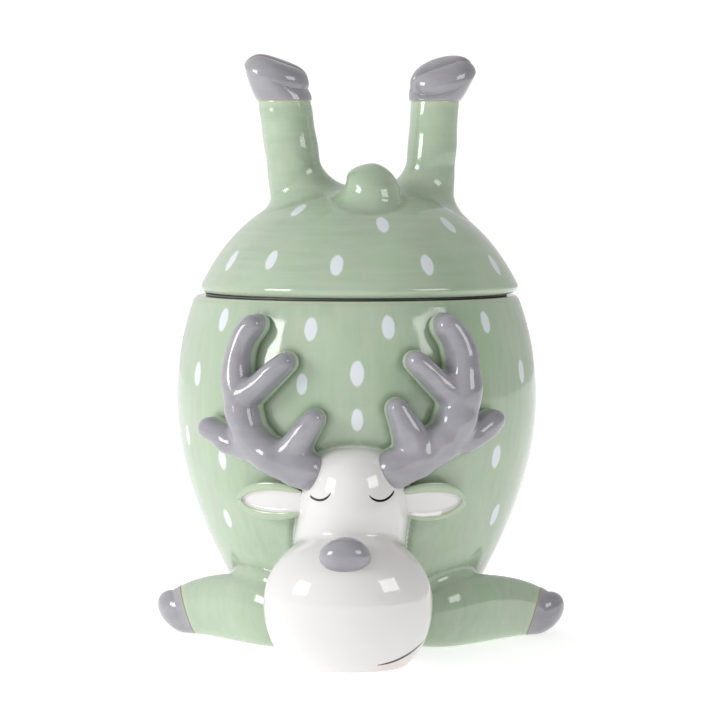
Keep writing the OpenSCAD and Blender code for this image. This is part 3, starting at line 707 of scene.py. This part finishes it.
def melted(mesh, voxel, passes):
    """Fuses overlapping rods into one skin and softens the corners between them, as a casting's are."""
    rough = bpy.data.objects.new("rough", mesh)
    bpy.context.scene.collection.objects.link(rough)
    fuse = rough.modifiers.new("fuse", "REMESH")
    fuse.mode = "VOXEL"
    fuse.voxel_size = voxel * MM
    soften = rough.modifiers.new("soften", "SMOOTH")
    soften.factor = 0.5
    soften.iterations = passes
    bpy.context.view_layer.update()
    result = bpy.data.meshes.new_from_object(rough.evaluated_get(bpy.context.evaluated_depsgraph_get()))
    bpy.data.objects.remove(rough)
    return result


def kneaded(points, size):
    """Hand-made unevenness, about -1 to 1: a sum of slanting waves whose lumps are about the size across."""
    x, y, z = points[..., 0] / size, points[..., 1] / size, points[..., 2] / size
    return 0.4 * (np.sin(2.1 * x + 1.3 * z + 0.5) + np.sin(2.3 * z - 1.7 * x + 1.1 * y)
                  + np.sin(3.1 * z - 1.1 * y + 2.0) + np.sin(2.9 * x + 0.4 * z - 1.5 * y + 4.0))


# Each branch is three rods one above another, wider towards the egg, so that it stands on a broad green foot.
ANTLER_LAYERS = ((ANTLER_GAP, 0.45), (5.0, 0.65), (2.2, 0.95))
antler_glaze = grey_glaze("grey_glaze_antler", True)
for side, name in ((-1, "left"), (1, "right")):
    rods = []
    for branch in [BEAMS[side]] + TINES[side]:
        line = flowing(branch, 10)
        for gap, swell in ANTLER_LAYERS:
            path = on_egg(side * line[:, 0], ANTLER_Z + line[:, 1], gap)
            hand = 0.25 * np.sin(line[:, 1] / 3.1 + line[:, 0] / 2.3 + side)
            rods.append(round_rod(path, line[:, 2] / 2 + swell + hand))
    mesh = melted(joined_rods(rods), 0.8, 16)
    co = read_points(mesh)
    rho = np.hypot(co[:, 0], co[:, 1])
    least = egg_radius(co[:, 2]) - SINK
    co[:, :2] *= np.where(rho < least, least / rho, 1.0)[:, None]
    lumps = 0.22 * kneaded(co, 7.0) * ease(3.0, 6.0, egg_gap(co))
    co[:, 0] += lumps * np.sin(co[:, 0] / 40)
    co[:, 1] -= lumps
    mesh.vertices.foreach_set("co", (co * MM).ravel())
    mesh.name = "antler_" + name + "_glazed"
    finished("antler_" + name, mesh, "jar", antler_glaze,
             {"thin": np.zeros(len(co)), "gap": egg_gap(co)})
    # Pooled glaze and painted shade on the egg round the antler.
    pool_and_shade_round(jar, co[np.abs(egg_gap(co)) < 0.5], 4.0)

# ------------------------------------ ears
# Cupped leaves, one at each side of the face: sage outside and on the rim, white in the hollow.

EAR_Z = 71.8
EAR_LENGTH = 25.5
EAR_HALF = 9.25
EAR_OUT = 7.5
EAR_BACK = 8.0
EAR_RIM = 2.0
EAR_DISH = 2.6
DISH_HALF = {-1: 5.1, 1: 5.6}
DISH_RAISE = {-1: 0.1, 1: -1.0}

ear_rows = 100
ear_sides = 160
ear_t = np.linspace(0.004, 0.996, ear_rows)[:, None]
ear_half = EAR_HALF * np.maximum(1 - (np.abs(ear_t - 0.45) / 0.55) ** 2.2, 0.001) ** 0.6
ear_a = full_turn(ear_sides)
ear_size = (ear_half / EAR_HALF) ** 0.7
ear_up = ear_half * np.cos(ear_a)
ear_front = np.sin(ear_a) < 0
for side, name in ((-1, "left"), (1, "right")):
    # The white dish is a leaf: widest near the face, and rounded where the ear ends.
    leaf = np.maximum(1 - (np.maximum(ear_t - 0.34, 0) / 0.56) ** 2.4, 0.0) ** 0.62
    leaf = DISH_HALF[side] * leaf * (1 - 0.12 * ease(0.35, 0.1, ear_t)) + 0.001
    from_middle = np.abs(ear_up - DISH_RAISE[side] * ease(0.95, 0.5, ear_t)) / leaf
    hollow = ease(1.35, 0.55, from_middle) * ear_front
    ear_depth = np.where(
        ear_front,
        EAR_OUT + EAR_RIM * ear_size * np.abs(np.sin(ear_a)) ** 0.7 - EAR_DISH * ear_size * hollow,
        EAR_OUT - EAR_BACK * ear_size * np.sin(ear_a),
    )
    ear_white = np.where(ear_front, np.clip(1.5 - from_middle, 0, 1), 0.0)
    ear_thin = ear_front * ease(0.95, 1.15, from_middle) * ease(1.9, 1.2, from_middle) * 0.55
    round_it = (FACE_HALF_WIDTH - 6) + (6 + EAR_LENGTH) * ear_t
    ear_points = on_egg(side * round_it, EAR_Z + ear_up + 1.0, ear_depth)
    # Near the egg the ear, and the egg round it, are darkened as pooled glaze and painted shade.
    marks = {"lining": ear_white, "thin": ear_thin, "pool_and_shade": ease(3.0, 0.5, egg_gap(ear_points)) * 0.7}
    if side > 0:
        ear_points = ear_points[:, ::-1]
        marks = {key: value[:, ::-1] for key, value in marks.items()}
    surface("ear_" + name, ear_points, "jar", jar_glaze, marks)
    pool_and_shade_round(jar, ear_points[np.abs(egg_gap(ear_points)) < 0.6], 3.5)

# ------------------------------------ front legs
# Hollow castings that come out from under the head and lie along the table, with the hooves at their ends.

SHOULDER = (18.0, -24.0, 17.9)
FORE_BOW = 24.0
FORE_TAPER = 2.8
FORE_SHIFT = 2.0
FOREHOOF_RADIUS = 10.25
TIP_Y = -3.0
HOOF_SLOPE = math.tan(math.radians(18))
FORE_CAP = 1.04 * FOREHOOF_RADIUS
FORE_REACH = 98.8 - HOOF_SLOPE * FOREHOOF_RADIUS
FOREHOOF_X = 80.8


def foreleg_rings(side, x, sides, shrink=0.0):
    """Front leg: circles that taper by u^2.8 along the leg, which bows forwards beside the muzzle and slopes
    outwards. The leg is cut flat by the table and rounded at the tip."""
    x = x[:, None]
    u = (x - SHOULDER[0]) / (FORE_REACH - FORE_CAP - SHOULDER[0])
    v = np.clip(u, 0, 1)
    radius = SHOULDER[2] + (FOREHOOF_RADIUS - SHOULDER[2]) * v**FORE_TAPER
    tip = np.sqrt(np.clip(1 - (np.maximum(x - FORE_REACH + FORE_CAP, 0) / FORE_CAP) ** 2, 0.0004, 1))
    round_it = full_turn(sides)
    z = np.maximum(radius * 0.97 + (radius - shrink) * tip * np.sin(round_it), 0)
    middle = SHOULDER[1] + (TIP_Y - SHOULDER[1]) * u - FORE_BOW * 6.75 * v * (1 - v) ** 2
    y = middle + (radius - shrink) * tip * np.cos(round_it)
    rings = np.stack([side * (x + HOOF_SLOPE * v * z) + FORE_SHIFT, y, z], -1)
    return rings if side > 0 else rings[:, ::-1]


for side, name in ((-1, "left"), (1, "right")):
    along = np.concatenate([np.linspace(SHOULDER[0], FOREHOOF_X, 110), [FOREHOOF_X + 0.6, FOREHOOF_X + 1.6]])
    leg = foreleg_rings(side, along, 130)
    leg[-1] = foreleg_rings(side, along[-1:], 130, 1.2)[0]
    leg = seated(leg, 2.5 + 3.5 * ease(-25, -42, leg[..., 1]))
    leg[..., 2] = np.maximum(leg[..., 2], 0)
    # Near the egg the leg, and the egg round it, are darkened as pooled glaze and painted shade.
    surface("foreleg_" + name, leg, "jar", jar_glaze,
            {"thin": ease(3.5, 0.5, np.abs(along[:, None] - FOREHOOF_X)) * 0.8,
             "pool_and_shade": ease(2.0, 0.3, egg_gap(leg)) * 0.35})
    pool_and_shade_round(jar, leg[np.abs(egg_gap(leg)) < 0.7], 4.5, 0.25)
    tip_x = FORE_REACH - FORE_CAP + (FORE_CAP - 0.01) * np.sin(np.linspace(0, math.pi / 2, 30))
    straight = np.linspace(FOREHOOF_X - 0.35, FORE_REACH - FORE_CAP, 14, endpoint=False)
    along = np.concatenate([[FOREHOOF_X - 0.4], straight, tip_x])
    hoof = foreleg_rings(side, along, 130, -0.25)
    hoof[0] = foreleg_rings(side, along[:1], 130, 1.0)[0]
    surface("forehoof_" + name, hoof, "jar", slate_glaze,
            {"thin": ease(2.0, 0.0, along[:, None] - FOREHOOF_X) * 0.8})

# ------------------------------------ seal
# A soft ring of translucent silicone, stretched over the lid's flange. Its colour is painted dark, as painted
# shade for the shadow in the gap.
# A thin web lies on the jar's rim, and three fins stand in the jar's throat.

# Dark grey painted shade for the silicone, standing in for the shadow in the gap.
GAP_SHADE_DARK = (0.085, 0.09, 0.085, 1)
GAP_SHADE = (0.13, 0.135, 0.13, 1)
SEAT_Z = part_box("seal_ring")[1].z / MM
SEAL_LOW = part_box("seal_ring")[0].z / MM
WEB_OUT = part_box("seal_ring")[1].x / MM
FIN_OUT = throat_radius - 0.1
SLEEVE_OUT = FIN_OUT - 1.4
SLEEVE_IN = SLEEVE_OUT - 1.1
fin_pitch = (SEAT_Z - SEAL_LOW - 1.2) / 3
seal_profile = [(SLEEVE_IN, SEAT_Z - 0.05), (SLEEVE_IN, SEAL_LOW), (SLEEVE_OUT, SEAL_LOW)]
for step in range(3):
    base = SEAL_LOW + fin_pitch * step
    seal_profile += [(SLEEVE_OUT, base + 0.3), (FIN_OUT, base + fin_pitch * 0.55),
                     (FIN_OUT, base + fin_pitch * 0.70), (SLEEVE_OUT, base + fin_pitch * 0.62)]
seal_profile += [(SLEEVE_OUT, RIM_Z + 0.02), (WEB_OUT - 0.3, RIM_Z + 0.02), (WEB_OUT, RIM_Z + 0.3),
                 (WEB_OUT, SEAT_Z - 0.3), (WEB_OUT - 0.3, SEAT_Z - 0.02), (SLEEVE_IN, SEAT_Z - 0.05)]
seal_profile = np.array(seal_profile)


def silicone():
    """Clear silicone painted dark as painted shade for the gap: soft sheen, slightly cloudy, with a faint
    moulded grain.
    """
    material, tree, shader = new_glaze("clear_silicone")
    haze = ramp(tree, noise(tree, 90, 3.0, 1.9), 0.3, 0.7)
    tree.links.new(blend_colour(tree, haze, GAP_SHADE_DARK, GAP_SHADE), shader.inputs["Base Color"])
    roughen(tree, shader, noise(tree, 900, 2.0, 4.2), 0.3, 0.0001)
    shader.inputs["Roughness"].default_value = 0.42
    return material


seal_angle = full_turn(240)
seal_rings = around(seal_angle, seal_profile[:, :1], seal_profile[:, 1:])
surface("seal_ring", seal_rings, "seal", silicone(), None, (False, False), "_soft")

# ------------------------------------ lid shell
# The top of the egg is slip-cast, with a flange under it that carries the seal and locates it in the throat.
# It is sage with white spots outside, and white inside.

# The dome is a little larger than the jar's rim and stands to the right of its own flange.
LID_OVERHANG = 0.7
LID_GROWTH = 1 + LID_OVERHANG / float(egg_radius(RIM_Z))
DOME_SHIFT = 1.6
LID_TURN = math.radians(11)
LID_EDGE = 3.1
EDGE_TILT = math.radians(24)
LID_SEAT_Z = SEAT_Z + 0.02
FLANGE_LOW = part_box("lid_shell")[0].z / MM
FLANGE_OUT = SLEEVE_IN - 0.1
FLANGE_IN = FLANGE_OUT - 4.5
BEAD = 0.8
edge_top = LID_SEAT_Z + LID_EDGE * (1 + math.sin(EDGE_TILT))
edge_middle = float(egg_radius(edge_top)) * LID_GROWTH - LID_EDGE * math.cos(EDGE_TILT)
dome_climb = np.sin(np.linspace(0, math.pi / 2, 96, endpoint=False))
dome_levels = edge_top + (CROWN_Z - edge_top) * dome_climb
inner_climb = np.sin(np.linspace(0, math.pi / 2, 50, endpoint=False))
inner_dome = CROWN_Z - WALL - (CROWN_Z - WALL - LID_SEAT_Z - 9) * (1 - inner_climb)
lid_profile = np.vstack([
    [(0.5, CROWN_Z - WALL)],
    np.stack([egg_radius(inner_dome, WALL) * LID_GROWTH, inner_dome], -1)[::-1],
    [(FLANGE_IN + 0.4, LID_SEAT_Z + 3.4), (FLANGE_IN, LID_SEAT_Z + 2.2)],
    upright(FLANGE_IN, LID_SEAT_Z, FLANGE_LOW + 1.0, 6),
    corner((FLANGE_IN + 1.0, FLANGE_LOW + 1.0), 1.0, 180, 270, 5),
    level(FLANGE_IN + 1.4, FLANGE_OUT - 0.6, FLANGE_LOW, 4),
    corner((FLANGE_OUT + BEAD - 0.8, FLANGE_LOW + 0.8), 0.8, -90, 90, 9),
    upright(FLANGE_OUT, FLANGE_LOW + 1.7, LID_SEAT_Z, 6),
    level(FLANGE_OUT + 0.4, edge_middle - 0.3, LID_SEAT_Z, 8),
    corner((edge_middle, LID_SEAT_Z + LID_EDGE), LID_EDGE, -90, 20, 12),
    np.stack([egg_radius(dome_levels) * LID_GROWTH, dome_levels], -1),
    [(0.5, CROWN_Z)],
])
dome_start = len(lid_profile) - 97
lid_rings, angle = revolved(lid_profile, SHELL_SIDES, slice(dome_start, len(lid_profile) - 1), 0.3)
lid_rows = np.arange(len(lid_profile))[:, None]
outer_rows = slice(dome_start - 12, len(lid_profile))
lid_rings[outer_rows, :, 0] += DOME_SHIFT * math.cos(LID_TURN)
lid_rings[outer_rows, :, 1] += DOME_SHIFT * math.sin(LID_TURN)
dome_rows = lid_rows >= dome_start - 9
# The darkening mark for pooled glaze and painted shade starts empty and is filled in at the seams of other
# pieces.
lid_marks = {
    "spot": spot_depth(angle, lid_profile[:, 1:], LID_SPOTS) * dome_rows,
    "lining": (lid_rows < dome_start - 21).astype(float),
    "bare": ((lid_rows >= dome_start - 20) & (lid_rows < dome_start - 12)).astype(float),
    "thin": ease(2.6, 0.4, lid_profile[:, 1:] - LID_SEAT_Z) * dome_rows * 0.45,
    "pool_and_shade": np.zeros((len(lid_profile), SHELL_SIDES)),
}
lid = surface("lid_shell", lid_rings, "lid", lid_glaze, lid_marks)

# ------------------------------------ tail
# A rounded stub that grows out of the dome in front of the hind legs.

TAIL_OFFSET = 30.0
TAIL_RADIUS = 12.75
TAIL_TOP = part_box("tail")[1].z / MM
TAIL_FLARE = 8.0
BACK_SHIFT = 3.3


def dome_height(rho):
    """Height of the dome at a distance from its axis: the egg's outline, a little larger, turned round."""
    share = np.clip(rho / (EGG_RADIUS * LID_GROWTH), 0, 1) ** SIDE_POWER
    return BELLY_Z + (CROWN_Z - BELLY_Z) * (1 - share) ** (1 / CROWN_POWER)


def turned(points, angle):
    """Points turned about the egg's axis."""
    c, s = math.cos(angle), math.sin(angle)
    return points @ np.array([[c, s, 0], [-s, c, 0], [0, 0, 1]])


def grown(centre, radius, flare, round_it, t, lean=0.0):
    """A stem that grows out of the dome: it leaves the dome flush and turns upright on a quarter circle."""
    rho = radius + flare * (1 - np.sin(t))
    x = centre[0] + lean * flare * (1 - np.cos(t)) + rho * np.cos(round_it)
    y = centre[1] + rho * np.sin(round_it)
    z = dome_height(np.hypot(x - DOME_SHIFT, y)) + flare * (1 - np.cos(t))
    return np.stack([x, y, z], -1)


def sunk_ring(ring, depth):
    """A ring just below the dome's surface, so that the seam closes inside the wall."""
    lower = ring.copy()
    lower[..., 2] -= depth
    return lower


stem_sides = 128
stem_angle = full_turn(stem_sides)
stem_t = np.linspace(0, math.pi / 2, 26)[:, None]
tail_flare = TAIL_FLARE * (0.6 - 0.4 * np.cos(stem_angle))
tail_flared = grown((BACK_SHIFT, -TAIL_OFFSET), TAIL_RADIUS, tail_flare, stem_angle, stem_t)
cap = np.linspace(0, math.pi / 2 - 0.03, 40)[1:, None, None]
drawn_in = np.cos(cap) ** 1.2
rim_ring = tail_flared[-1:]
tail_cap = np.concatenate([
    BACK_SHIFT + (rim_ring[..., :1] - BACK_SHIFT) * drawn_in,
    -TAIL_OFFSET + (rim_ring[..., 1:2] + TAIL_OFFSET) * drawn_in + 1.5 * np.sin(cap),
    rim_ring[..., 2:] + (TAIL_TOP - rim_ring[..., 2:]) * np.sin(cap),
], -1)
tail_seam = tail_flared[:1]
tail_foot = [sunk_ring(tail_seam, 1.2), sunk_ring(tail_seam, 0.15)]
tail_points = np.concatenate(tail_foot + [tail_flared[1:], tail_cap])
# The tail's foot, and the dome round it, are darkened as pooled glaze and painted shade.
tail_pool_and_shade = np.zeros((len(tail_points), 1))
tail_pool_and_shade[:12, 0] = np.linspace(0.55, 0, 12)
surface("tail", turned(tail_points, LID_TURN), "lid", lid_glaze,
               {"thin": 0.0, "pool_and_shade": tail_pool_and_shade})
pool_and_shade_round(lid, turned(tail_seam, LID_TURN), 3.0, 0.5)

# ------------------------------------ hind legs and hooves
# Hollow legs that stand up from the dome with a wide flare on their inner side, and cloven hooves on top.

HIND_OFFSET = 32.5
HIND_LEAN = {-1: math.tan(math.radians(8.2)), 1: math.tan(math.radians(3.8))}
HIND_RADIUS = {-1: 12.55, 1: 11.65}
HIND_FLARE = 16.0
FLARE_SHAPE = {-1: (0.65, 0.33), 1: (0.74, -0.22)}
HOCK_Z = CROWN_Z + 41.0
HOOF_TOP = CROWN_Z + 63.0
HOOF_HALF = (16.5, 13.0)
HOOF_TILT = math.radians(19)
HOOF_ROLL = {-1: math.radians(15), 1: math.radians(29)}
HOOF_OUT = 4.0
HOOF_EDGE = 8.07
HOOF_PROUD = 0.25
CLEFT = 1.9
CLEFT_WIDTH = 1.4
HEEL_NOTCH = 1.0


def hind_x(side, z):
    """How far to the right the middle of a hind leg is at a height: a straight line that leans outwards."""
    return BACK_SHIFT + side * (HIND_OFFSET + (z - CROWN_Z) * HIND_LEAN[side])


def hoof_ring(side, grow, edge, narrow=1.0):
    """Hoof: rings grow from the leg's circle into a longer, tilted oval, roll over its edge, close the sole.
    A groove runs along the sole's middle and down the heel and toe, where it fades towards the leg."""
    tilt = HOOF_TILT * grow
    roll = HOOF_ROLL[side] * grow
    rise = math.hypot(
        (HOOF_HALF[0] - HOOF_EDGE) * math.sin(HOOF_TILT),
        (HOOF_HALF[1] - HOOF_EDGE) * math.sin(HOOF_ROLL[side]) * math.cos(HOOF_TILT))
    middle_z = HOCK_Z + (HOOF_TOP + 0.4 - HOOF_EDGE - rise - HOCK_Z) * grow
    middle_x = hind_x(side, HOCK_Z) + side * HOOF_OUT * grow
    start = HIND_RADIUS[side] + HOOF_PROUD
    half_l = start + (HOOF_HALF[0] - start) * grow**0.7 - HOOF_EDGE * (1 - np.cos(edge))
    half_w = start + (HOOF_HALF[1] - start) * grow**0.7 - HOOF_EDGE * (1 - np.cos(edge))
    v = half_w * np.sin(stem_angle) * narrow
    groove = np.exp(-((v / CLEFT_WIDTH) ** 2))
    pinch = HEEL_NOTCH * groove * ease(0.35, 1.0, grow) * np.cos(edge) * np.sign(np.cos(stem_angle))
    u = half_l * np.cos(stem_angle) - pinch
    up = HOOF_EDGE * np.sin(edge) - CLEFT * groove * grow * np.sin(edge) ** 2
    w = up * np.cos(roll) + v * np.sin(roll)
    return np.stack([
        middle_x + side * (u * np.cos(tilt) - w * np.sin(tilt)),
        v * np.cos(roll) - up * np.sin(roll) + 0 * u,
        middle_z + u * np.sin(tilt) + w * np.cos(tilt)], -1)


def round_hock(side, points, share):
    """Points of a level ring drawn in towards the middle of the leg's end."""
    drawn = points.copy()
    drawn[..., 0] = hind_x(side, HOCK_Z) + (points[..., 0] - hind_x(side, HOCK_Z)) * share
    drawn[..., 1] *= share
    return drawn


for side, name in ((-1, "left"), (1, "right")):
    mean, skew = FLARE_SHAPE[side]
    inner_flare = HIND_FLARE * (mean + skew * np.cos(stem_angle))
    foot = (hind_x(side, dome_height(HIND_OFFSET)), 0)
    flared = grown(foot, HIND_RADIUS[side], inner_flare, stem_angle, stem_t, side * HIND_LEAN[side])
    shank_t = np.linspace(0, 1, 50)[1:, None, None]
    top_ring = np.stack([
        hind_x(side, HOCK_Z) + HIND_RADIUS[side] * np.cos(stem_angle),
        HIND_RADIUS[side] * np.sin(stem_angle), HOCK_Z + 0 * stem_angle], -1)
    shank = flared[-1:] * (1 - shank_t) + top_ring * shank_t
    closing = round_hock(side, top_ring + np.array([0, 0, 1.0]), 0.9)
    foot_rings = [sunk_ring(flared[:1], 1.2), sunk_ring(flared[:1], 0.15)]
    leg = np.concatenate(foot_rings + [flared[1:], shank, closing])
    lump = 0.32 * kneaded(leg, 9.0) * ease(2, 12, leg[..., 2] - CROWN_Z) * ease(0, 6, HOCK_Z - leg[..., 2])
    leg[..., 0] += lump * np.cos(stem_angle)
    leg[..., 1] += lump * np.sin(stem_angle)
    # The leg's foot, and the dome round it, are darkened as pooled glaze and painted shade.
    leg_pool_and_shade = np.zeros((len(leg), 1))
    leg_pool_and_shade[:10, 0] = np.linspace(0.45, 0, 10)
    surface("hind_leg_" + name, turned(leg, LID_TURN), "lid", lid_glaze,
            {"thin": ease(4.0, 0.5, HOCK_Z - leg[..., 2]) * 0.6, "pool_and_shade": leg_pool_and_shade})
    pool_and_shade_round(lid, turned(flared[:1], LID_TURN), 3.0, 0.4)
    grow = np.linspace(0, 1, 34)[:, None]
    edge = np.linspace(0, math.pi / 2, 26)[1:, None]
    narrow = np.cos(np.linspace(0, math.pi / 2, 16))[1:-1, None]
    start_ring = hoof_ring(side, np.zeros((1, 1)), 0.0)
    hoof = np.concatenate([
        round_hock(side, start_ring, 0.9),
        hoof_ring(side, grow, 0.0),
        hoof_ring(side, 1.0, edge),
        hoof_ring(side, 1.0, math.pi / 2, narrow)])
    hoof_thin = ease(5.0, 0.0, np.abs(hoof[..., 1])) * ease(HOOF_TOP - 12, HOOF_TOP, hoof[..., 2]) * 0.7
    hoof_thin = np.maximum(hoof_thin, ease(2.0, 0.0, hoof[..., 2] - HOCK_Z) * 0.6)
    hoof = turned(hoof, LID_TURN)
    if side < 0:
        hoof = hoof[:, ::-1]
        hoof_thin = hoof_thin[:, ::-1]
    surface("hind_hoof_" + name, hoof, "lid", slate_glaze,
            {"thin": hoof_thin})

# ------------------------------------ floor and light
# A plain pale floor in a white studio, with a large soft light at each side of the camera.

FLOOR_HALF = 3.0
floor_mesh = bpy.data.meshes.new("floor")
floor_corners = [(x * FLOOR_HALF, y * FLOOR_HALF, 0) for x, y in ((-1, -1), (1, -1), (1, 1), (-1, 1))]
floor_mesh.from_pydata(floor_corners, [], [(0, 1, 2, 3)])
floor = bpy.data.objects.new("floor", floor_mesh)
bpy.context.scene.collection.objects.link(floor)
floor_material, _, floor_shader = new_glaze("studio_floor")
floor_shader.inputs["Base Color"].default_value = (0.90, 0.90, 0.90, 1)
floor_shader.inputs["Roughness"].default_value = 0.9
floor_shader.inputs["Emission Color"].default_value = (1, 1, 1, 1)
floor_shader.inputs["Emission Strength"].default_value = 0.52
floor_mesh.materials.append(floor_material)

# The room is white where the camera looks, bright behind the jar, and brighter on the left than on the right.
world = bpy.data.worlds.new("studio")
bpy.context.scene.world = world
world.use_nodes = True
room = world.node_tree
backdrop = room.nodes["Background"]
backdrop.inputs["Color"].default_value = (1, 1, 1, 1)
way = add(room, "SeparateXYZ", Vector=add(room, "TexCoord").outputs["Generated"])
across = ramp(room, way.outputs["X"], -0.9, 0.9)
front_glow = math_node(room, "MULTIPLY_ADD", across, -1.02, 1.03)
behind = ramp(room, way.outputs["Y"], 0.05, 0.55)
back_glow = math_node(room, "MULTIPLY_ADD", across, -0.60, 1.02)
gain = part_of(room, behind, math_node(room, "SUBTRACT", back_glow, front_glow))
glow = math_node(room, "ADD", front_glow, gain)
seen = add(room, "LightPath").outputs["Is Camera Ray"]
room.links.new(ramp(room, seen, 0, 1, glow, 1.05), backdrop.inputs["Strength"])


def soft_light(name, round_it, height, away, width, tall, power):
    """A rectangular soft box at an angle round the jar, aimed at its middle."""
    light = bpy.data.lights.new(name, "AREA")
    light.shape = "RECTANGLE"
    light.size = width
    light.size_y = tall
    light.energy = power
    lamp = bpy.data.objects.new(name, light)
    a = math.radians(round_it)
    lamp.location = (away * math.sin(a), -away * math.cos(a), height)
    lift = math.atan2(height - 0.13, away)
    lamp.rotation_euler = (math.pi / 2 - lift, 0, a)
    bpy.context.scene.collection.objects.link(lamp)


soft_light("soft_box_left", -59, 0.52, 1.25, 0.46, 0.42, 6.2)
soft_light("soft_box_right", 56, 0.68, 1.25, 0.60, 0.46, 4.0)
bpy.context.scene.view_settings.view_transform = "Standard"
